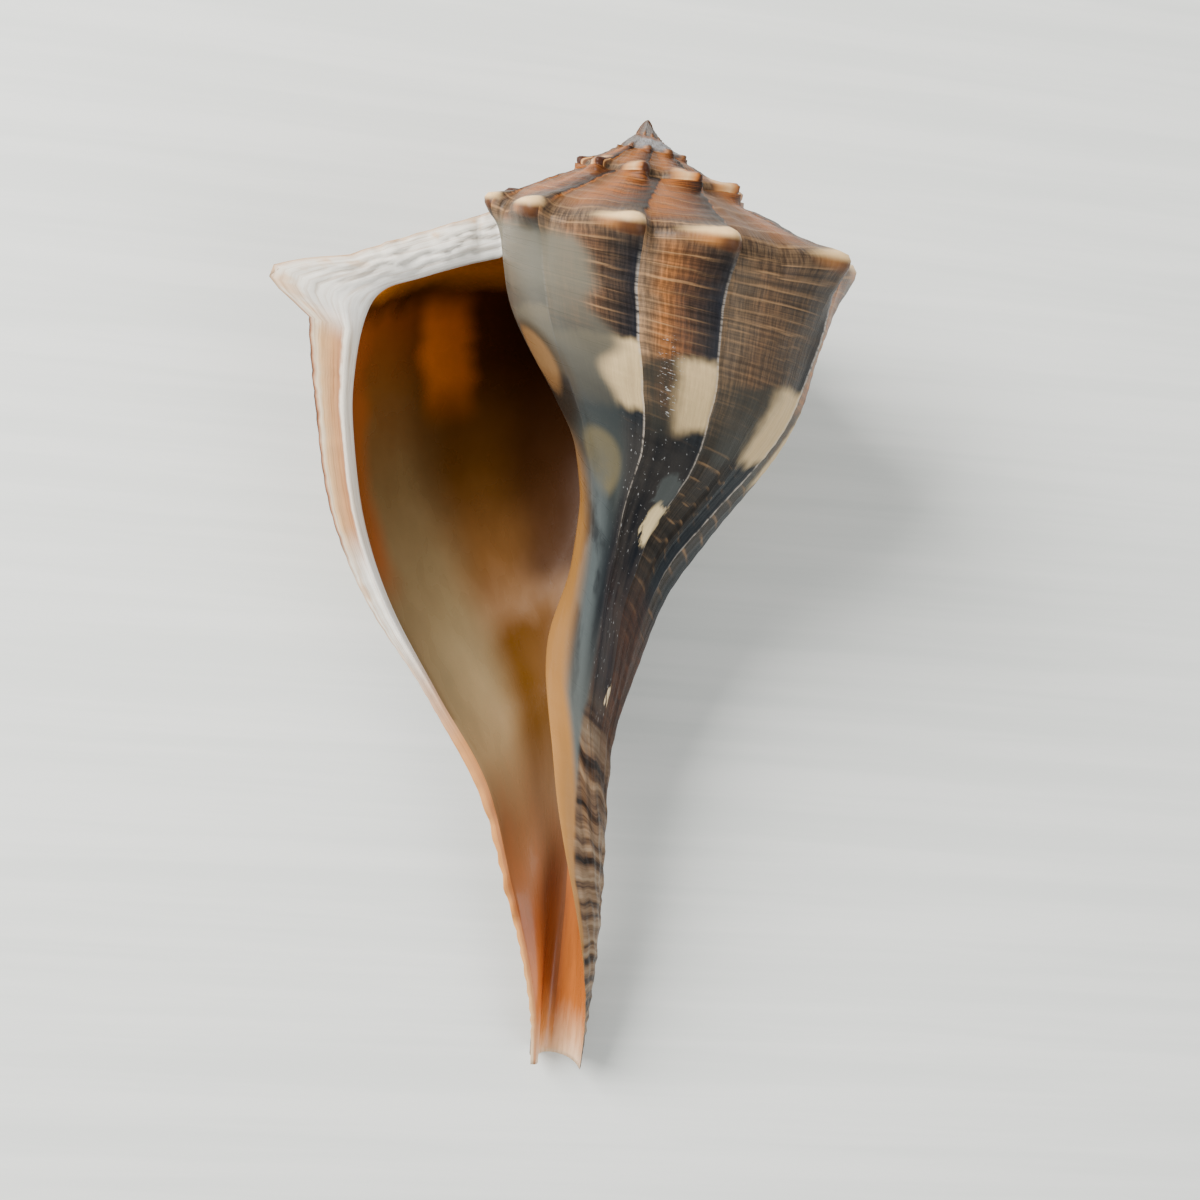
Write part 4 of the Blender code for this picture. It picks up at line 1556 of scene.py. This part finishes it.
@dataclass(frozen=True)
class CavityFinish(Finish):
    """The glossy inside: burnt orange under the roof, brightened with painted light through the thin shell;
    dark brown in the chamber, with painted shade at its back and under the roof and a painted highlight near
    its floor; a painted orange glow through the wall; orange in the canal.
    """

    name: str = "shell_cavity"
    coat: float = 0.25
    coat_roughness: float = 0.1
    specular: float = 0.3
    # The first two stops here and in near are the roof's burnt orange at full brightness: painted light
    # shining through the thin roof.
    far: Stops = (
        (0.00, (1.0, 0.38, 0.030)), (0.22, (1.0, 0.34, 0.024)), (0.285, (0.10, 0.028, 0.004)),
        (0.32, (0.100, 0.030, 0.004)), (0.50, (0.130, 0.050, 0.008)), (0.58, (0.210, 0.095, 0.028)),
        # The pale pink stop at 0.612 is a painted highlight along the lower edge of the chamber.
        (0.612, (0.280, 0.150, 0.070)), (0.635, (0.130, 0.048, 0.002)), (0.69, (0.140, 0.060, 0.010)),
        (0.74, (0.165, 0.092, 0.044)), (0.80, (0.170, 0.068, 0.030)), (0.90, (0.290, 0.090, 0.020)),
        (0.96, (0.640, 0.270, 0.070)), (1.0, (0.880, 0.580, 0.340)),
    )
    # The near-black stop at 0.275 here and at 0.285 in far is painted shade in the corner where the roof
    # meets the outer wall.
    near: Stops = (
        (0.00, (1.0, 0.38, 0.030)), (0.22, (1.0, 0.34, 0.024)), (0.275, (0.07, 0.022, 0.004)),
        (0.32, (0.330, 0.090, 0.014)), (0.42, (0.230, 0.095, 0.022)), (0.48, (0.230, 0.140, 0.052)),
        (0.56, (0.260, 0.180, 0.085)), (0.63, (0.300, 0.220, 0.115)), (0.70, (0.350, 0.240, 0.120)),
        (0.75, (0.260, 0.125, 0.052)), (0.82, (0.300, 0.085, 0.020)), (0.92, (0.580, 0.180, 0.032)),
        (1.0, (0.920, 0.650, 0.420)),
    )
    columella: Stops = (
        (0.35, (0.030, 0.012, 0.005)), (0.60, (0.060, 0.028, 0.010)), (0.66, (0.390, 0.200, 0.070)),
        (0.74, (0.370, 0.155, 0.050)), (0.82, (0.340, 0.100, 0.024)), (0.92, (0.470, 0.140, 0.026)),
        (1.0, (0.880, 0.580, 0.340)),
    )
    mottled: Stops = ((0.3, (0.86, 0.84, 0.82)), (0.7, (1.12, 1.10, 1.08)))
    far_degrees: Span = (24.0, 44.0)
    rim: Colour = (0.40, 0.105, 0.020)
    rim_degrees: Span = (14.0, 5.0)
    rim_knots: tuple[float, float, float] = (4.6, 7.4, 0.8)
    # glow is painted light: orange light shining through the shell wall, laid on as colour.
    glow: Colour = (0.92, 0.24, 0.012)
    glow_degrees: tuple[float, float, float] = (38.0, 45.0, 7.0)
    glow_knots: tuple[float, float, float] = (4.7, 5.5, 1.0)
    # deep is painted shade: the back of the chamber darkened to near-black.
    deep: Colour = (0.040, 0.012, 0.003)
    chamber_shade_degrees: Span = (50.0, 66.0)
    chamber_shade_knots: tuple[float, float, float] = (4.3, 8.3, 0.5)

    def material(self) -> bpy.types.Material:
        """Builds the material.

        Returns:
            The material.
        """
        material, nodes, shader = self.start()
        turn, knot = nodes.split("growth")
        inner = nodes.masks()[0]
        mottle = GrowthLines().place(nodes, turn, knot, 1.0)[2]
        level = knot / LAST_KNOT + (mottle - 0.5) * 0.05
        wander = nodes.noise((knot * 0.8, turn * 3.0), 2.0)
        back = (turn - 0.5) * FULL_TURN + (wander - 0.5) * 14.0
        colour = nodes.mix(back.step(*self.far_degrees), level.ramp(self.near), level.ramp(self.far))
        rim = back.step(*self.rim_degrees) * knot.window(*self.rim_knots)
        colour = nodes.mix(rim * 0.8, colour, self.rim)
        # Painted light: an orange glow through the shell wall.
        glow = back.window(*self.glow_degrees) * knot.window(*self.glow_knots)
        colour = nodes.mix(glow * 0.95, colour, self.glow)
        # Painted shade: the back of the chamber darkened to near-black.
        deep = back.step(*self.chamber_shade_degrees) * knot.window(*self.chamber_shade_knots)
        colour = nodes.mix(deep * 0.8, colour, self.deep)
        colour = nodes.mix(inner, colour, level.ramp(self.columella))
        colour = nodes.mix(0.7, colour, mottle.ramp(self.mottled), "MULTIPLY")
        self.close(nodes, shader, colour, mottle * 0.2 + 0.18, wander * 0.05)
        return material


@dataclass
class WhelkShell:
    """The whole shell: one closed mesh that stands for the frame's node."""

    form: ShellForm = field(default_factory=ShellForm)
    apex_rise: float = math.radians(15.8)
    roll: float = math.radians(-7.6)
    inner_top_knot: float = 5.75
    floor_knot: float = 10.5
    ramp_rows: int = 28
    lip_steps: int = 22
    chamber_rows: int = 70
    canal_rows: int = 40
    weld: float = 1e-6
    node: str = "whelk_shell"

    def profile(self) -> Points:
        """Knots of every row, from the suture to the end of the canal.

        Returns:
            The knots, closer together on the lip's upper side.
        """
        form = self.form
        parts = [
            form.knots_between(0.0, form.foot_knot, self.ramp_rows),
            form.knots_between(form.foot_knot, self.inner_top_knot, self.lip_steps)[1:],
            form.knots_between(self.inner_top_knot, self.floor_knot, self.chamber_rows)[1:],
            form.knots_between(self.floor_knot, LAST_KNOT, self.canal_rows)[1:],
        ]
        return np.concatenate(parts)

    def turned(self) -> Matrix:
        """How the shell is turned to lie on its back."""
        return Matrix.Rotation(self.apex_rise, 4, "X") @ Matrix.Rotation(self.roll, 4, "Y")

    def laid_down(self, node: bpy.types.Object, tip: Vector) -> Matrix:
        """Shell axes to the frame, found from the frame's own tip of the spire.

        Args:
            node: The frame's solid.
            tip: The tip of the spire in shell axes.

        Returns:
            The matrix that takes shell axes to the row frame.
        """
        found = max((vertex.co for vertex in node.data.vertices), key=lambda co: co.y)
        return Matrix.Translation(found - self.turned() @ tip) @ self.turned()

    def patches(self) -> list[Patch]:
        """Every grid of the surface.

        Returns:
            The spire, the body whorl, the lip and the parts of the hollow.
        """
        rows = self.profile()
        whorls = OuterWhorls(self.form, Relief(self.form), rows, self.ramp_rows)
        spire, body = whorls.build()
        floor_row = self.ramp_rows + self.lip_steps + self.chamber_rows
        cavity = Cavity(self.form, rows, self.ramp_rows, self.lip_steps, floor_row)
        hollow = cavity.build(body.points)
        lip = LipBand(self.form, rows, self.ramp_rows, self.lip_steps).build(body.points, hollow[0].points)
        return [spire, body, lip, *hollow]

    def lay(self, shell: bmesh.types.BMesh, patch: Patch) -> None:
        """Lays a flat grid of faces over a patch and stores what the finishes read.

        Args:
            shell: The mesh being made.
            patch: The grid to add.
        """
        growth = shell.loops.layers.uv["growth"]
        segment = shell.loops.layers.uv["segment"]
        masks = shell.loops.layers.float_color["masks"]
        age = shell.loops.layers.uv["age"]
        columns, rows = patch.points.shape[0] - 1, patch.points.shape[1] - 1
        steps = self.form.spines.steps()
        segment_turn = self.form.segment_turn(patch.turn, patch.knot)
        first = len(shell.faces)
        made = bmesh.ops.create_grid(shell, x_segments=columns, y_segments=rows, size=0.5)
        place = {}
        for vertex in made["verts"]:
            cell = (round((vertex.co.x + 0.5) * columns), round((vertex.co.y + 0.5) * rows))
            place[vertex] = cell
            vertex.co = patch.points[cell]
        shell.faces.ensure_lookup_table()
        for face in shell.faces[first:]:
            face.material_index = patch.region.value
            cells = [place[loop.vert] for loop in face.loops]
            middle = sum(segment_turn[cell] for cell in cells) / 4
            index = int(np.searchsorted(steps, middle)) - 1
            young, old = steps[index], steps[index + 1]
            plain, cream = self.form.tone(index)
            for loop, cell in zip(face.loops, cells):
                loop[growth].uv = (patch.turn[cell] / FULL_TURN, patch.knot[cell])
                loop[segment].uv = ((segment_turn[cell] - young) / (old - young), plain)
                loop[masks] = patch.masks[cell][:4]
                loop[age].uv = (patch.masks[cell][4], cream)

    def build(self, frame: dict[str, Any]) -> tuple[bpy.types.Object, Matrix]:
        """Makes the shell and puts it on the frame.


        Returns:
            The shell, and the matrix from shell axes to the row frame.
        """
        shell = bmesh.new()
        shell.loops.layers.uv.new("growth")
        shell.loops.layers.uv.new("segment")
        shell.loops.layers.uv.new("age")
        shell.loops.layers.float_color.new("masks")
        for patch in self.patches():
            self.lay(shell, patch)
        bmesh.ops.remove_doubles(shell, verts=shell.verts[:], dist=self.weld)
        rim = [edge for edge in shell.edges if edge.is_boundary]
        filled = bmesh.ops.holes_fill(shell, edges=rim, sides=0)
        for face in filled["faces"]:
            face.material_index = Region.LIP.value
        bmesh.ops.triangulate(shell, faces=filled["faces"])
        bmesh.ops.recalc_face_normals(shell, faces=shell.faces[:])
        place = self.laid_down(frame["nodes"][self.node], Vector((0.0, 0.3 * MM, 0.0)))
        bmesh.ops.transform(shell, matrix=place, verts=shell.verts[:])
        mesh = bpy.data.meshes.new("shell_surface")
        shell.to_mesh(mesh)
        shell.free()
        mesh.shade_smooth()
        for finish in (OutsideFinish(), LipFinish(), CavityFinish()):
            mesh.materials.append(finish.material())
        whelk = bpy.data.objects.new("shell_surface", mesh)
        bpy.context.scene.collection.objects.link(whelk)
        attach(whelk, "root")
        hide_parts(self.node)
        LOG.info("shell_surface: %d faces, %d open edges", len(mesh.polygons), len(rim))
        return whelk, place


@dataclass(frozen=True)
class Lamp:
    """A soft square light that faces the shell."""

    name: str
    place: Colour
    size: float
    power: float
    colour: Colour
    target: Colour = (0.0, 0.0, 0.03)

    def hang(self) -> None:
        """Hangs the lamp and turns it to the shell."""
        lamp = bpy.data.lights.new(self.name, "AREA")
        lamp.shape = "SQUARE"
        lamp.size = self.size
        lamp.energy = self.power
        lamp.color = self.colour
        hung = bpy.data.objects.new(self.name, lamp)
        hung.location = self.place
        hung.rotation_euler = (Vector(self.target) - Vector(self.place)).to_track_quat("-Z", "Y").to_euler()
        bpy.context.scene.collection.objects.link(hung)


@dataclass(frozen=True)
class Studio:
    """A plain pale floor, soft light from the left and the camera."""

    camera_place: tuple[float, float, float] = (0.34 * MM, -27.9 * MM, 235.4 * MM)
    camera_right: Colour = (0.99452, 0.10261, -0.01995)
    camera_up: Colour = (-0.10453, 0.97625, -0.18977)
    camera_back: Colour = (0.0, 0.19081, 0.98162)
    lens: float = 45.0
    floor_size: float = 2.4
    floor_colour: Colour = (0.93, 0.94, 0.91)
    floor_roughness: float = 0.6
    grain_colour: Colour = (0.85, 0.87, 0.84)
    grain_scale: Colour = (6.0, 160.0, 1.0)
    grain_turn: float = 0.03
    sky: float = 0.42
    sky_colour: Colour = (0.97, 1.0, 0.98)
    lamps: tuple[Lamp, ...] = (
        Lamp("window", (-0.75, 0.40, 0.70), 0.7, 28.0, (1.0, 0.99, 0.96)),
        Lamp("fill", (0.8, -0.5, 0.9), 1.0, 8.5, (0.99, 1.0, 1.0)),
    )

    def floor(self) -> bpy.types.Object:
        """Makes the floor that the shell lies on.

        Returns:
            The floor.
        """
        flat = bmesh.new()
        bmesh.ops.create_grid(flat, x_segments=1, y_segments=1, size=self.floor_size / 2)
        mesh = bpy.data.meshes.new("floor")
        flat.to_mesh(mesh)
        flat.free()
        material = bpy.data.materials.new("floor")
        material.use_nodes = True
        nodes = Nodes(material.node_tree)
        place = nodes.add("ShaderNodeTexCoord").outputs["Object"]
        drawn = {"Vector": place, "Scale": self.grain_scale, "Rotation": (0.0, 0.0, self.grain_turn)}
        grain = nodes.noise(nodes.value("ShaderNodeMapping", drawn), 4.0, 0.6).step(0.35, 0.65)
        shader = material.node_tree.nodes["Principled BSDF"]
        nodes.put(shader.inputs["Roughness"], self.floor_roughness)
        nodes.put(shader.inputs["Base Color"], nodes.mix(grain, self.grain_colour, self.floor_colour))
        mesh.materials.append(material)
        floor = bpy.data.objects.new("floor", mesh)
        bpy.context.scene.collection.objects.link(floor)
        return floor

    def sky_light(self) -> None:
        """Even light from all round."""
        world = bpy.data.worlds.new("soft_sky")
        world.use_nodes = True
        background = world.node_tree.nodes["Background"]
        background.inputs["Color"].default_value = (*self.sky_colour, 1.0)
        background.inputs["Strength"].default_value = self.sky
        bpy.context.scene.world = world

    def camera(self, place: Matrix) -> bpy.types.Object:
        """Puts the camera where the photograph was taken from.

        Args:
            place: The matrix from shell axes to the row frame.

        Returns:
            The camera.
        """
        data = bpy.data.cameras.new("camera")
        data.lens = self.lens
        data.sensor_width = 36.0
        data.clip_start = 0.005
        camera = bpy.data.objects.new("camera", data)
        axes = Matrix((self.camera_right, self.camera_up, self.camera_back)).transposed().to_4x4()
        camera.matrix_world = place @ Matrix.Translation(self.camera_place) @ axes
        bpy.context.scene.collection.objects.link(camera)
        bpy.context.scene.camera = camera
        return camera

    def build(self, place: Matrix) -> None:
        """Makes the floor, the lights and the camera.

        Args:
            place: The matrix from shell axes to the row frame.
        """
        self.floor()
        for lamp in self.lamps:
            lamp.hang()
        self.sky_light()
        self.camera(place)


def main() -> None:
    """Builds the shell and the studio on the frame."""
    logging.basicConfig(level=logging.INFO, format="%(message)s")
    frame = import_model()
    whelk, place = WhelkShell().build(frame)
    LOG.info("%s rides on root", whelk.name)
    Studio().build(place)


if __name__ == "__main__":
    main()
